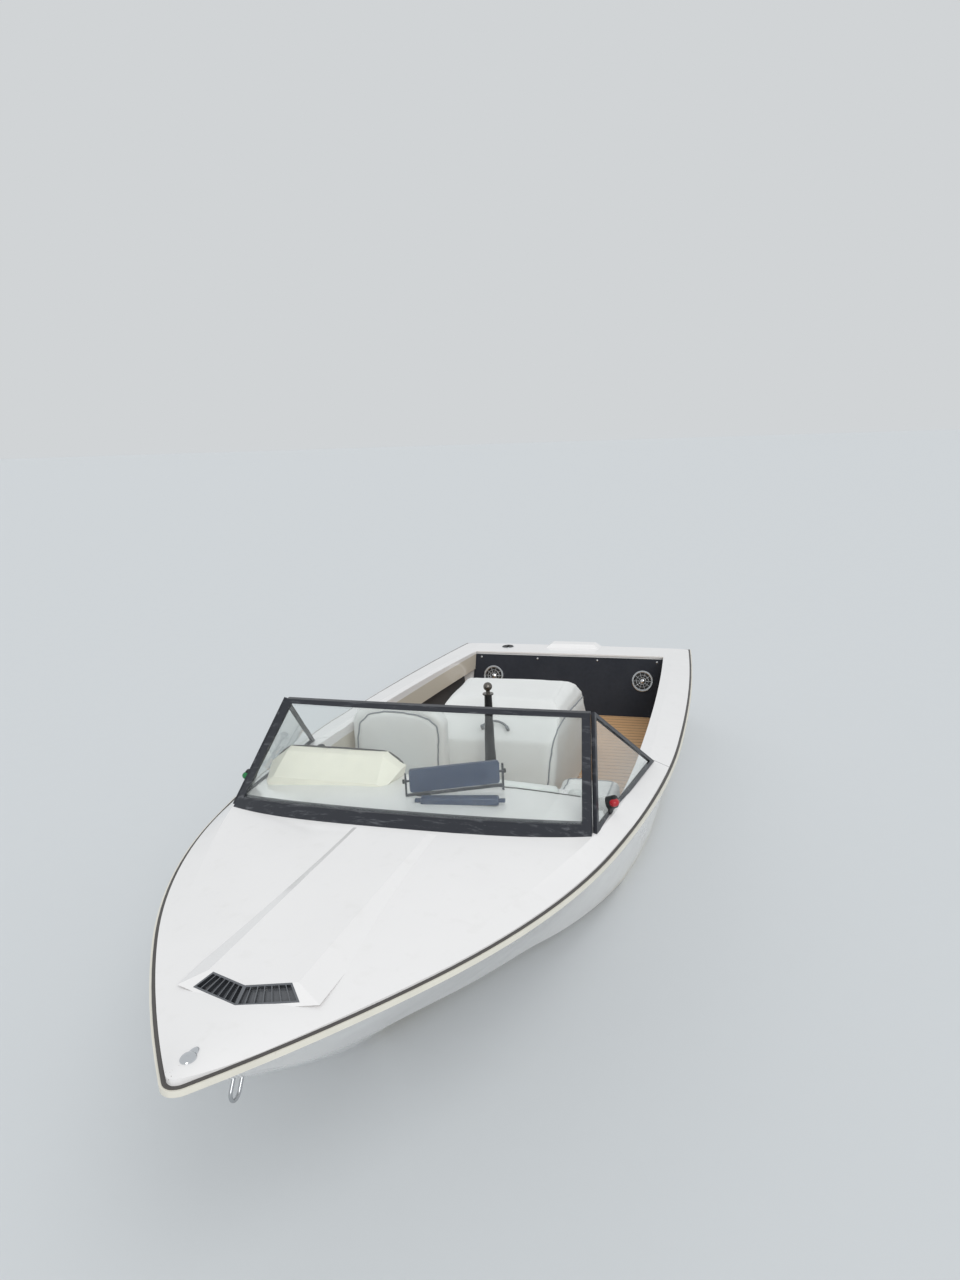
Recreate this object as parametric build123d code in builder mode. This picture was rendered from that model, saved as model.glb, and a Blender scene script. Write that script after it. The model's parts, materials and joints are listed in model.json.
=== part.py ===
"""Inboard ski speedboat afloat, as an assembly of separate pieces. Millimetres.

X runs forward from the transom, Y to port, Z up. The origin is on the waterline at the transom's centre.
"""
import os
from math import atan2, cos, hypot, radians, sin, sqrt

from build123d import *

os.makedirs("parts", exist_ok=True)

# Plan outline: the rail's outer edge as tangent arcs from the widest point to the stern and to the tip
stern_half = 916
beam_x = 2500
beam_half = 1040
tip_x = 5658
drawn_half = 1040
drawn_tip = 5658


def across(width):
    """Half-width of a form that follows the boat's beam."""
    return width * beam_half / drawn_half


def along(x):
    """Place of a form that follows the boat's length."""
    return x * tip_x / drawn_tip


shoulder_point = (along(3970), across(900))
entry_point = (along(4990), across(506))
nose_point = (tip_x - 20, across(39.5))

# Sheer: the joint of hull and deck lies in one plane that rises towards the bow
stern_sheer = 523
bow_sheer = 757

# Walls, joints and running gaps
hull_wall = 60
rail_depth = 14
deck_inset = 19
seat_gap = 0.3
floor_gap = 1.2
lining = 10
shaft_play = 0.05
moving_gap = 8

# Cockpit
floor_top = 100
floor_thick = 12
cockpit_front = 3950
panel_top_x = 335
panel_foot_x = 460
panel_thick = 15
panel_half_top = across(739)
panel_half_foot = across(766)
coaming_drop = 130
coaming_thick = 14
dash_edge_x = 3490

# Drive line
shaft_radius = 12.7
shaft_angle = 14
prop_x = 620
prop_z = -500
prop_radius = 165
hub_radius = 32
hub_length = 90
coupling_x = 1690

# Hull stations from the stern to the bow
hull_columns = ("x", "keel_z", "chine_y", "chine_z")
hull_rows = [
    (0, -295, 800, -95),
    (560, -303, 822, -92),
    (1120, -310, 838, -88),
    (1680, -315, 844, -75),
    (2240, -316, 836, -52),
    (2760, -306, 792, -10),
    (3240, -274, 700, 48),
    (3680, -198, 570, 120),
    (4080, -86, 434, 195),
    (4440, 50, 306, 266),
    (4760, 205, 182, 332),
    (5050, 374, 84, 418),
    (5310, 536, 46, 568),
    (5510, 662, 24, 678),
    (5640, 741, 8, 746),
]
hull_stations = [(along(x), keel, across(chine), level) for x, keel, chine, level in hull_rows]
chine_flat_share = 0.05

# Deck stations: heights are over the sheer
deck_columns = ("x", "lip", "shoulder_y", "shoulder_h", "centre_h")
deck_rows = [
    (-700, 4, 745, 6, 9),
    (0, 4, 785, 9, 12),
    (700, 5, 825, 15, 18),
    (1400, 6, 860, 27, 34),
    (2100, 8, 885, 34, 49),
    (2750, 8, 905, 37, 70),
    (3350, 8, 878, 46, 91),
    (3900, 8, 818, 60.5, 107),
    (4400, 8, 665, 34, 91),
    (4850, 8, 480, 23.2, 65),
    (5250, 8, 245, 19.9, 40),
    (5560, 8, 60, 16.6, 27),
    (5760, 8, 30, 13.7, 18),
]
deck_stations = [(along(x), lip, across(shoulder), *heights) for x, lip, shoulder, *heights in deck_rows]
deck_margin = 25
deck_trim = 60


def sheer(x):
    """Height of the sheer plane at x."""
    return stern_sheer + (bow_sheer - stern_sheer) * x / tip_x


def arc_chain(points, heading):
    """Start x, end x, centre and radius of each tangent arc through the points."""
    chain = []
    for (x0, y0), (x1, y1) in zip(points, points[1:]):
        chord = atan2(y1 - y0, x1 - x0)
        radius = hypot(x1 - x0, y1 - y0) / (2 * sin(heading - chord))
        centre = (x0 + radius * sin(heading), y0 - radius * cos(heading))
        chain.append((x0, x1, centre, radius))
        heading = 2 * chord - heading
    return chain


def half_width(x):
    """Half-width of the plan outline at x."""
    forward = arc_chain([(beam_x, beam_half), shoulder_point, entry_point, nose_point, (tip_x, 0)], 0)
    aft = arc_chain([(-beam_x, beam_half), (0, stern_half)], 0)[0]
    if x <= beam_x:
        centre, radius = aft[2:]
        return centre[1] + sqrt(radius ** 2 - (-x - centre[0]) ** 2)
    for x0, x1, centre, radius in forward:
        if x <= x1:
            return centre[1] + sqrt(max(radius ** 2 - (x - centre[0]) ** 2, 0))
    return 0


def plan_outline(inset):
    """Face of the plan outline, drawn in by the inset."""
    with BuildSketch() as outline:
        with BuildLine():
            aft = TangentArc((beam_x, beam_half), (0, stern_half), tangent=(-1, 0))
            side = TangentArc((beam_x, beam_half), shoulder_point, tangent=(1, 0))
            entry = TangentArc(shoulder_point, entry_point, tangent=side % 1)
            nose = TangentArc(entry_point, nose_point, tangent=entry % 1)
            TangentArc(nose_point, (tip_x, 0), tangent=nose % 1)
            Line(aft @ 1, (0, 0))
            mirror(about=Plane.XZ)
        make_face()
        if inset:
            offset(amount=-inset, mode=Mode.REPLACE)
    return outline.sketch


def sheer_slab(below, above):
    """Slab across the whole boat between two planes parallel to the sheer."""
    ends = (-200, tip_x + 200)
    with BuildPart() as slab:
        with BuildSketch(Plane.XZ):
            Polygon(
                (ends[0], sheer(ends[0]) - below),
                (ends[1], sheer(ends[1]) - below),
                (ends[1], sheer(ends[1]) + above),
                (ends[0], sheer(ends[0]) + above),
                align=None,
            )
        extrude(amount=beam_half + 200, both=True)
    return slab.part


def inner_space(inset, low, front):
    """Space inside the hull: the stations drawn in by the inset, above a level, up to a bulkhead."""
    above = 80
    with BuildPart() as space:
        for x, keel_z, chine_y, chine_z in hull_stations[:10]:
            side = half_width(x) - rail_depth - inset
            with BuildSketch(Plane.YZ.offset(x)):
                Polygon(
                    (0, keel_z + inset),
                    (chine_y - inset, chine_z + inset / 2),
                    (side, sheer(x)),
                    (side, sheer(x) + above),
                    (-side, sheer(x) + above),
                    (-side, sheer(x)),
                    (-chine_y + inset, chine_z + inset / 2),
                    align=None,
                )
        loft()
        split(bisect_by=Plane.XY.offset(low), keep=Keep.TOP)
        split(bisect_by=Plane.YZ.offset(front), keep=Keep.BOTTOM)
        split(bisect_by=panel_plane, keep=Keep.TOP)
    return space.part


# The rear panel leans back: its front face runs from its foot to its top edge
panel_top_z = sheer(panel_top_x)
panel_lean = Vector(panel_top_x - panel_foot_x, 0, panel_top_z - floor_top)
face_plane = Plane(
    origin=(panel_foot_x, 0, floor_top),
    x_dir=(0, 1, 0),
    z_dir=Vector(panel_lean.Z, 0, -panel_lean.X),
)
panel_plane = face_plane.offset(-panel_thick)


# Hull: one loft through hard-chine sections with the cockpit, bilge well and bores cut in
well_rear = 1230
well_front = 2440
well_half = 290
well_bottom = -215
trench_half = 75
trench_bottom = -290
shaft_axis = Axis((prop_x, 0, prop_z), (cos(radians(shaft_angle)), 0, sin(radians(shaft_angle))))
shaft_bore = 22
rudder_x = 280
stock_radius = 14
gland_radius = 24

with BuildPart() as hull:
    for x, keel_z, chine_y, chine_z in hull_stations:
        side = half_width(x) - rail_depth
        flat = chine_flat_share * chine_y
        with BuildSketch(Plane.YZ.offset(x)):
            Polygon(
                (0, keel_z),
                (chine_y - flat, chine_z - flat / 8),
                (chine_y, chine_z),
                (side, sheer(x)),
                (-side, sheer(x)),
                (-chine_y, chine_z),
                (-chine_y + flat, chine_z - flat / 8),
                align=None,
            )
    loft()
    add(inner_space(hull_wall, floor_top - floor_thick, cockpit_front), mode=Mode.SUBTRACT)
    with BuildSketch(Plane.XY.offset(floor_top)):
        with Locations(((well_rear + well_front) / 2, 0)):
            RectangleRounded(well_front - well_rear, 2 * well_half, 60)
    extrude(amount=well_bottom - floor_top, mode=Mode.SUBTRACT)
    with BuildSketch(Plane.XY.offset(floor_top)):
        with Locations((coupling_x - 40, 0)):
            RectangleRounded(280, 2 * trench_half, 20)
    extrude(amount=trench_bottom - floor_top, mode=Mode.SUBTRACT)
    with BuildSketch(Plane(origin=shaft_axis.position, z_dir=shaft_axis.direction)):
        Circle(shaft_bore)
    extrude(amount=1050, mode=Mode.SUBTRACT)
    with BuildSketch(Plane.XY.offset(-400)):
        with Locations((rudder_x, 0)):
            Circle(gland_radius + seat_gap)
    extrude(amount=400, mode=Mode.SUBTRACT)


# Deck: crowned moulding with lip, raised centre panel, transom pad, opening and coaming return
raised_rear = (4100, 4165)
raised_tip = (tip_x - 332, tip_x - 404)
raised_half = (across(235), across(150))
raised_shift = 40
raised_level = (770, 804)
raised_sweep = 49 / 150
pad_half = (226, 170)
pad_reach = (150, 105)
pad_level = (530, 567)

with BuildSketch() as cockpit_opening:
    with BuildLine():
        rim = ThreePointArc((panel_top_x, across(736)), (1800, across(824)), (3000, across(852)))
        Polyline(rim @ 1, (dash_edge_x, across(846)), (dash_edge_x, 0))
        Line(rim @ 0, (panel_top_x, 0))
        mirror(about=Plane.XZ)
    make_face()

with BuildPart() as deck_crown:
    for x, lip, shoulder_y, shoulder_h, centre_h in deck_stations:
        edge = max(half_width(min(max(x, 0), tip_x - 5)) - deck_inset, 2 * deck_margin)
        outer = edge + deck_margin
        outer_h = lip - (shoulder_h - lip) / (edge - shoulder_y) * deck_margin
        level = sheer(x)
        with BuildSketch(Plane.YZ.offset(x)):
            with BuildLine():
                crown = TangentArc((0, level + centre_h), (shoulder_y, level + shoulder_h), tangent=(1, 0))
                Polyline(
                    crown @ 1,
                    (outer, level + outer_h),
                    (outer, level - deck_trim),
                    (0, level - deck_trim),
                    crown @ 0,
                )
            make_face()
    loft()

with BuildPart() as deck_plan:
    with BuildSketch(Plane.XY.offset(stern_sheer - 100)):
        add(plan_outline(deck_inset))
    extrude(amount=600)

with BuildPart() as raised_panel:
    for level, rear, tip, half in zip(raised_level, raised_rear, raised_tip, raised_half):
        corner = tip - raised_sweep * half
        with BuildSketch(Plane.XY.offset(level)):
            Polygon(
                (rear, -half + raised_shift),
                (corner, -half),
                (tip, 0),
                (corner, half),
                (rear, half + raised_shift),
                align=None,
            )
    loft(ruled=True)

with BuildPart() as transom_pad:
    for level, half, reach in zip(pad_level, pad_half, pad_reach):
        with BuildSketch(Plane.XY.offset(level)):
            Polygon((deck_inset, -half), (reach, -half), (reach, half), (deck_inset, half), align=None)
    loft(ruled=True)

with BuildPart() as coaming:
    with BuildSketch(Plane.XY.offset(stern_sheer - coaming_drop)):
        offset(cockpit_opening.sketch, amount=coaming_thick, kind=Kind.INTERSECTION)
        add(cockpit_opening.sketch, mode=Mode.SUBTRACT)
    extrude(amount=500)
    add(sheer_slab(coaming_drop, 2), mode=Mode.INTERSECT)
    add(inner_space(hull_wall + floor_gap + lining + floor_gap, floor_top, cockpit_front), mode=Mode.INTERSECT)
    split(bisect_by=face_plane.offset(seat_gap), keep=Keep.TOP)
    split(bisect_by=Plane.YZ.offset(dash_edge_x - 1), keep=Keep.BOTTOM)

# Louvred vent: a V of two arms on the front bevel of the raised panel
vent_inner = 138
vent_outer = (-20, 166)
vent_run = 64
vent_depth = 20
vent_frame = 6
vane_thick = 3
vane_count = 6


def vent_plane(side):
    """Plane of one arm: origin at the inner apex, x along the arm's inner edge, z out of the deck."""
    along = Vector(-raised_sweep, side, 0).normalized()
    outward = Vector(side * along.Y, -side * along.X, 0)
    run = (raised_tip[0] - raised_tip[1]) * outward.X
    drop = raised_level[1] - raised_level[0]
    normal = outward * drop + Vector(0, 0, run)
    return Plane(origin=(raised_tip[1], 0, raised_level[1]), x_dir=along, z_dir=normal.normalized())


def vent_arm(side, grow):
    """Outline of one arm of the vent on its plane, grown by a gap."""
    with BuildSketch(vent_plane(side)) as arm:
        Polygon(
            (0, 0),
            (vent_inner, 0),
            (vent_outer[1], -side * vent_run),
            (vent_outer[0], -side * vent_run),
            align=None,
        )
        if grow:
            offset(amount=grow, kind=Kind.INTERSECTION, mode=Mode.REPLACE)
    return arm.sketch


with BuildPart() as deck:
    add(deck_crown.part)
    add(deck_plan.part, mode=Mode.INTERSECT)
    with BuildSketch(Plane.XY.offset(stern_sheer - coaming_drop)):
        add(cockpit_opening.sketch)
    extrude(amount=600, mode=Mode.SUBTRACT)
    add(sheer_slab(stern_sheer, seat_gap), mode=Mode.SUBTRACT)
    mirror(about=Plane.XZ)
    add(raised_panel.part)
    add(transom_pad.part)
    add(coaming.part)
    for side in (1, -1):
        extrude(vent_arm(side, seat_gap), amount=-vent_depth - seat_gap, both=True, mode=Mode.SUBTRACT)

with BuildPart() as bow_vent:
    for side in (1, -1):
        extrude(vent_arm(side, 0), amount=-vent_depth)
        extrude(vent_arm(side, -vent_frame), amount=-vent_depth + 4, mode=Mode.SUBTRACT)
    for side in (1, -1):
        for vane in range(vane_count):
            share = (vane + 1) / (vane_count + 1)
            foot = share * vent_inner
            head = vent_outer[0] + share * (vent_outer[1] - vent_outer[0])
            reach = -side * vent_run
            inside = 2 / vent_run
            start = (foot + (head - foot) * inside, reach * inside)
            end = (head + (foot - head) * inside, reach * (1 - inside))
            with BuildSketch(vent_plane(side)):
                Polygon(
                    (start[0] - vane_thick / 2, start[1]),
                    (start[0] + vane_thick / 2, start[1]),
                    (end[0] + vane_thick / 2, end[1]),
                    (end[0] - vane_thick / 2, end[1]),
                    align=None,
                )
            extrude(amount=-vent_depth)


# Rub rail: cream bead under the sheer, with a dark insert in its groove beside the deck's edge
rail_band = 34
rail_low = 18
groove_floor = 3
insert_inset = 7
insert_high = 3

with BuildPart() as rail_groove:
    with BuildSketch(Plane.XY.offset(stern_sheer - 100)):
        add(plan_outline(insert_inset))
    extrude(amount=500)
    add(sheer_slab(groove_floor, 60), mode=Mode.INTERSECT)

with BuildPart() as rub_rail:
    with BuildSketch(Plane.XY.offset(stern_sheer - 100)):
        add(plan_outline(0))
        add(plan_outline(rail_band), mode=Mode.SUBTRACT)
    extrude(amount=500)
    add(sheer_slab(rail_low, 0), mode=Mode.INTERSECT)
    add(hull.part, mode=Mode.SUBTRACT)
    add(rail_groove.part, mode=Mode.SUBTRACT)

with BuildPart() as rail_insert:
    with BuildSketch(Plane.XY.offset(stern_sheer - 100)):
        add(plan_outline(insert_inset))
        add(plan_outline(rail_band), mode=Mode.SUBTRACT)
    extrude(amount=500)
    add(sheer_slab(groove_floor, insert_high), mode=Mode.INTERSECT)
    add(hull.part, mode=Mode.SUBTRACT)
    add(deck_plan.part, mode=Mode.SUBTRACT)


# Floor, rear panel and side linings
with BuildPart() as cockpit_floor:
    add(inner_space(hull_wall + floor_gap, floor_top - floor_thick, cockpit_front - floor_gap))
    split(bisect_by=Plane.XY.offset(floor_top), keep=Keep.BOTTOM)
    split(bisect_by=panel_plane.offset(panel_thick + floor_gap), keep=Keep.TOP)
    with BuildSketch(Plane.XY.offset(floor_top)):
        with Locations(((well_rear + well_front) / 2, 0)):
            RectangleRounded(well_front - well_rear, 2 * well_half, 60)
    extrude(amount=-floor_thick, mode=Mode.SUBTRACT)

speaker_y = across(586)
speaker_z = 363
speaker_radius = 80
speaker_bore = 66
speaker_rise = (speaker_z - floor_top) / panel_lean.normalized().Z
face_origin = Vector(panel_foot_x, 0, floor_top)


def on_panel(y, rise):
    """Plane on the rear panel's front face at a place across it and up its slope."""
    place = face_origin + Vector(0, y, 0) + panel_lean.normalized() * rise
    return Plane(origin=place, x_dir=(0, 1, 0), z_dir=face_plane.z_dir)


with BuildPart() as rear_panel:
    with BuildSketch(Plane(origin=face_origin, x_dir=(0, 1, 0), z_dir=face_plane.z_dir)):
        Polygon(
            (-panel_half_foot, 0),
            (panel_half_foot, 0),
            (panel_half_top, panel_lean.length - 12),
            (-panel_half_top, panel_lean.length - 12),
            align=None,
        )
    extrude(amount=-panel_thick)
    for side in (1, -1):
        with BuildSketch(on_panel(side * speaker_y, speaker_rise)):
            Circle(speaker_bore)
        extrude(amount=-panel_thick, mode=Mode.SUBTRACT)

cone_depth = 12
spokes = 6

with BuildPart() as speaker_cones:
    for side in (1, -1):
        with BuildSketch(on_panel(side * speaker_y, speaker_rise)):
            Circle(speaker_bore - seat_gap)
        extrude(amount=-cone_depth)

with BuildPart() as speaker_grilles:
    for side in (1, -1):
        place = on_panel(side * speaker_y, speaker_rise)
        with BuildSketch(place):
            Circle(speaker_radius)
            Circle(speaker_radius - 14, mode=Mode.SUBTRACT)
            Circle(24)
            with PolarLocations(speaker_radius / 2, spokes):
                Rectangle(speaker_radius - 20, 9)
        extrude(amount=7)

lining_rear = panel_plane.offset(panel_thick + floor_gap)
lining_front = 3300

with BuildPart() as side_linings:
    add(inner_space(hull_wall + floor_gap, floor_top, lining_front))
    add(inner_space(hull_wall + floor_gap + lining, floor_top, lining_front), mode=Mode.SUBTRACT)
    add(sheer_slab(stern_sheer, -2), mode=Mode.INTERSECT)
    split(bisect_by=lining_rear, keep=Keep.TOP)
    split(bisect_by=Plane.YZ.offset(lining_front - 20), keep=Keep.BOTTOM)


# Windscreen: a ruled pane between a curved base on the deck and a nearly straight top rail
screen_base_corner = Vector(3925, across(802), 748)
screen_base_bulge = Vector(4100, 0, 800)
screen_top_corner = Vector(3500, across(726), 1119)
screen_top_bulge = 8
screen_sink = 0.04
frame_thick = 20
glass_thick = 6
base_rail = 47
top_rail = 16
corner_rail = 35
glass_seat = 9


def screen_blank(thick):
    """Solid of the whole pane at a given thickness, its foot carried on below the deck."""
    corner = screen_base_corner + (screen_base_corner - screen_top_corner) * screen_sink
    top_middle = Vector(screen_top_corner.X + screen_top_bulge, 0, screen_top_corner.Z)
    bulge_point = screen_base_bulge + (screen_base_bulge - top_middle) * screen_sink
    rise = bulge_point - Vector(corner.X, 0, corner.Z)
    base = Plane(
        origin=(corner.X, 0, corner.Z),
        x_dir=(0, 1, 0),
        z_dir=Vector(rise.Z, 0, -rise.X),
    )
    top = Plane(origin=(screen_top_corner.X, 0, screen_top_corner.Z), x_dir=(0, 1, 0), z_dir=(0, 0, -1))
    shapes = (
        (base, corner.Y, rise.length, thick * 1.3),
        (top, screen_top_corner.Y, screen_top_bulge, thick * 1.5),
    )
    with BuildPart() as blank:
        for plane, half, bulge, depth in shapes:
            with BuildSketch(plane):
                with BuildLine():
                    front = ThreePointArc((half, depth / 2), (0, bulge + depth / 2), (-half, depth / 2))
                    rear = ThreePointArc((half, -depth / 2), (0, bulge - depth / 2), (-half, -depth / 2))
                    Line(front @ 0, rear @ 0)
                    Line(front @ 1, rear @ 1)
                make_face()
        loft(ruled=True)
    return blank.part


def screen_window(margin):
    """Prism through the pane inside its rails, seen from ahead."""
    low = screen_base_corner.Z + base_rail * 0.72 - margin
    low_mid = screen_base_bulge.Z + base_rail * 0.60 - margin
    high = screen_top_corner.Z - top_rail + margin
    side_low = screen_base_corner.Y - corner_rail + margin - 6
    side_high = screen_top_corner.Y - corner_rail + margin + 4
    with BuildPart() as window:
        with BuildSketch(Plane.YZ.offset(3300)):
            with BuildLine():
                sill = ThreePointArc((side_low, low), (0, low_mid), (-side_low, low))
                Polyline(sill @ 1, (-side_high, high), (side_high, high), sill @ 0)
            make_face()
        extrude(amount=900)
    return window.part


with BuildPart() as windscreen_glass:
    add(screen_blank(glass_thick))
    add(screen_window(glass_seat), mode=Mode.INTERSECT)

with BuildPart() as glass_groove:
    add(screen_blank(glass_thick + 2 * seat_gap))
    add(screen_window(glass_seat + seat_gap), mode=Mode.INTERSECT)

with BuildPart() as windscreen_frame:
    add(screen_blank(frame_thick))
    add(screen_window(0), mode=Mode.SUBTRACT)
    add(glass_groove.part, mode=Mode.SUBTRACT)
    add(deck.part, mode=Mode.SUBTRACT)


# Wings: triangular side screens from the corner posts back along the gunwales
wing_front = Vector(3917, across(813), 744)
wing_tip = Vector(2874, across(929), 672)
wing_top = Vector(3497, across(737), 1119)
wing_rail = 20
wing_thick = 18
wing_glass_thick = 5


def wing_plane(side):
    """Plane of one wing: x from the tip forward along its base, z outboard."""
    forward = Vector(wing_front.X - wing_tip.X, side * (wing_front.Y - wing_tip.Y), wing_front.Z - wing_tip.Z)
    upward = Vector(wing_top.X - wing_tip.X, side * (wing_top.Y - wing_tip.Y), wing_top.Z - wing_tip.Z)
    outboard = forward.cross(upward) * -side
    return Plane(origin=(wing_tip.X, side * wing_tip.Y, wing_tip.Z), x_dir=forward, z_dir=outboard)


def wing_triangle(side, inset):
    """Triangle of one wing, drawn in by the inset."""
    plane = wing_plane(side)
    corners = [plane.to_local_coords(Vector(p.X, side * p.Y, p.Z)) for p in (wing_tip, wing_front, wing_top)]
    with BuildSketch(plane) as triangle:
        Polygon(*[(corner.X, corner.Y) for corner in corners], align=None)
        if inset:
            offset(amount=-inset, kind=Kind.INTERSECTION, mode=Mode.REPLACE)
    return triangle.sketch


with BuildPart() as wing_panes:
    for side in (1, -1):
        extrude(wing_triangle(side, wing_rail - glass_seat), amount=wing_glass_thick / 2, both=True)

with BuildPart() as wing_glass:
    add(wing_panes.part)
    add(deck.part, mode=Mode.SUBTRACT)

with BuildPart() as wing_frames:
    for side in (1, -1):
        extrude(wing_triangle(side, 0), amount=wing_thick / 2, both=True)
        extrude(wing_triangle(side, wing_rail), amount=wing_thick, both=True, mode=Mode.SUBTRACT)
        groove = wing_triangle(side, wing_rail - glass_seat - seat_gap)
        extrude(groove, amount=wing_glass_thick / 2 + seat_gap, both=True, mode=Mode.SUBTRACT)
    add(deck.part, mode=Mode.SUBTRACT)
    add(windscreen_frame.part, mode=Mode.SUBTRACT)


# Side lights on the front corners of the wings
light_x = 3700
light_z = 792
light_radius = 27
light_length = 46
light_plate = (36, 47, 8)


def light_body(side):
    """Round side light with a domed front, standing on the outside of the wing."""
    plane = wing_plane(side)
    foot = plane.to_local_coords(Vector(light_x, side * across(840), light_z))
    with BuildPart() as light:
        with BuildSketch(plane.offset(wing_thick / 2 + seat_gap)):
            with Locations((foot.X, foot.Y)):
                Circle(light_radius)
        extrude(amount=light_length)
        with BuildSketch(plane.offset(wing_thick / 2 + seat_gap)):
            with Locations((foot.X, foot.Y + side * light_plate[1] / 2)):
                Rectangle(light_plate[0], light_plate[1])
        extrude(amount=light_plate[2])
        fillet(light.faces().sort_by(Axis.Y)[-1 if side > 0 else 0].edges(), 12)
    return light.part


with BuildPart() as nav_light_port:
    add(light_body(1))
with BuildPart() as nav_light_starboard:
    add(light_body(-1))


# Dash: a dark roll along the edge of the deck, and a face below it that carries the steering column
dash_face_drop = 290
dash_face_set = 62
dash_face_lean = 20
dash_face_thick = 14
dash_half = across(820)
trim_radius = 11

with BuildPart() as dash_trim:
    with BuildSketch(Plane.XZ.offset(-540)):
        with Locations((dash_edge_x - trim_radius - seat_gap, sheer(dash_edge_x) + 65)):
            Rectangle(2 * trim_radius, 2 * trim_radius)
    extrude(amount=1080)
    fillet(dash_trim.edges().filter_by(Axis.Y), trim_radius / 2)


# Instrument pod: a hooded hexagonal box on the dash ahead of the driver
pod_rear = 3498
pod_front = 3690
pod_centre = -across(478)
pod_half = 335
pod_top = 880
pod_waist = 815
pod_foot = 690

with BuildPart() as instrument_pod:
    shapes = (
        (pod_rear, pod_half, pod_half - 86, pod_top),
        (pod_rear + 60, pod_half - 4, pod_half - 90, pod_top - 8),
        (pod_front, pod_half - 40, pod_half - 76, pod_waist - 25),
    )
    for x, half, crown_half, top in shapes:
        waist = min(pod_waist, top - 24)
        with BuildSketch(Plane.YZ.offset(x)):
            Polygon(
                (pod_centre - half + 34, pod_foot),
                (pod_centre - half, waist),
                (pod_centre - crown_half, top),
                (pod_centre + crown_half, top),
                (pod_centre + half, waist),
                (pod_centre + half - 34, pod_foot),
                align=None,
            )
    loft(ruled=True)
    add(deck.part, mode=Mode.SUBTRACT)


# Mirror on a U bracket, turned towards the driver
mirror_centre = Vector(3690, across(155), 0)
mirror_turn = 27
mirror_width = 400
mirror_height = 105
mirror_middle = 856
bracket_width = 440
bracket_rod = 8
mirror_plane = Plane(
    origin=(mirror_centre.X, mirror_centre.Y, mirror_middle),
    x_dir=(-sin(radians(mirror_turn)), cos(radians(mirror_turn)), 0),
    z_dir=(cos(radians(mirror_turn)), sin(radians(mirror_turn)), 0),
)

with BuildPart() as mirror:
    with BuildSketch(mirror_plane):
        RectangleRounded(mirror_width, mirror_height, 12)
    extrude(amount=9, both=True)

with BuildPart() as mirror_bracket:
    for side in (1, -1):
        with BuildSketch(mirror_plane):
            with Locations((side * (bracket_width - bracket_rod) / 2, -65)):
                Rectangle(bracket_rod, 200)
        extrude(amount=7, both=True)
        with BuildSketch(mirror_plane):
            with Locations((side * (mirror_width + bracket_width) / 4, 0)):
                Rectangle((bracket_width - mirror_width) / 2 - 2 * seat_gap, 8)
        extrude(amount=4, both=True)
    with BuildSketch(mirror_plane):
        with Locations((0, -66)):
            Rectangle(bracket_width - 2, 12)
    extrude(amount=6, both=True)
    add(deck.part, mode=Mode.SUBTRACT)


# Steering wheel: rim, spokes, hub and shaft on the wheel's own axis
wheel_centre = Vector(3290, -across(505), 545)
wheel_tilt = 20
wheel_radius = 165
wheel_rim = 14
wheel_plane = Plane(
    origin=wheel_centre,
    x_dir=(0, 1, 0),
    z_dir=(-cos(radians(wheel_tilt)), 0, sin(radians(wheel_tilt))),
)
column_length = 350
boss_at = 230
boss_length = 100
boss_radius = 46

with BuildPart() as steering_wheel:
    with BuildSketch(Plane(origin=wheel_centre, x_dir=wheel_plane.x_dir, z_dir=wheel_plane.y_dir)):
        with Locations((wheel_radius - wheel_rim, 0)):
            Circle(wheel_rim)
    revolve(axis=Axis(wheel_centre, wheel_plane.z_dir))
    with BuildSketch(wheel_plane):
        Circle(34)
        with PolarLocations((wheel_radius - wheel_rim) / 2, 3, start_angle=90):
            Rectangle(wheel_radius - wheel_rim, 26)
    extrude(amount=5, both=True)
    with BuildSketch(wheel_plane):
        Circle(30)
    extrude(amount=-60)
    with BuildSketch(wheel_plane):
        Circle(shaft_radius)
    extrude(amount=-column_length)

dash_face_x = dash_edge_x + dash_face_set
dash_foot_x = dash_face_x + dash_face_lean
with BuildPart() as dash_panel:
    with BuildSketch(Plane.XZ.offset(-dash_half)):
        Polygon(
            (dash_face_x, sheer(dash_face_x) + 20),
            (dash_face_x + dash_face_thick, sheer(dash_face_x) + 20),
            (dash_foot_x + dash_face_thick, sheer(dash_edge_x) - dash_face_drop),
            (dash_foot_x, sheer(dash_edge_x) - dash_face_drop),
            align=None,
        )
    extrude(amount=2 * dash_half)
    add(inner_space(hull_wall + floor_gap, floor_top, cockpit_front), mode=Mode.INTERSECT)
    add(sheer_slab(stern_sheer, 0), mode=Mode.INTERSECT)
    with BuildSketch(wheel_plane.offset(-boss_at)):
        Circle(boss_radius)
    extrude(amount=-boss_length)
    with BuildSketch(wheel_plane):
        Circle(shaft_radius + shaft_play)
    extrude(amount=-column_length - 40, mode=Mode.SUBTRACT)

# Single-lever throttle control on the starboard coaming
throttle_x = 3080
throttle_z = 575
throttle_wall = across(849.5)
throttle_depth = 48

with BuildPart() as throttle_control:
    with BuildSketch(Plane.XZ.offset(throttle_wall)):
        with Locations((throttle_x, throttle_z)):
            RectangleRounded(150, 90, 20)
    extrude(amount=-throttle_depth)
    with BuildSketch(Plane.XZ.offset(throttle_wall - throttle_depth)):
        with Locations((throttle_x, throttle_z)):
            Circle(16)
    extrude(amount=-24)
    with BuildSketch(Plane.XZ.offset(throttle_wall - throttle_depth - 10)):
        with Locations((throttle_x, throttle_z + 60)):
            Rectangle(16, 130)
    extrude(amount=-14)


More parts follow.
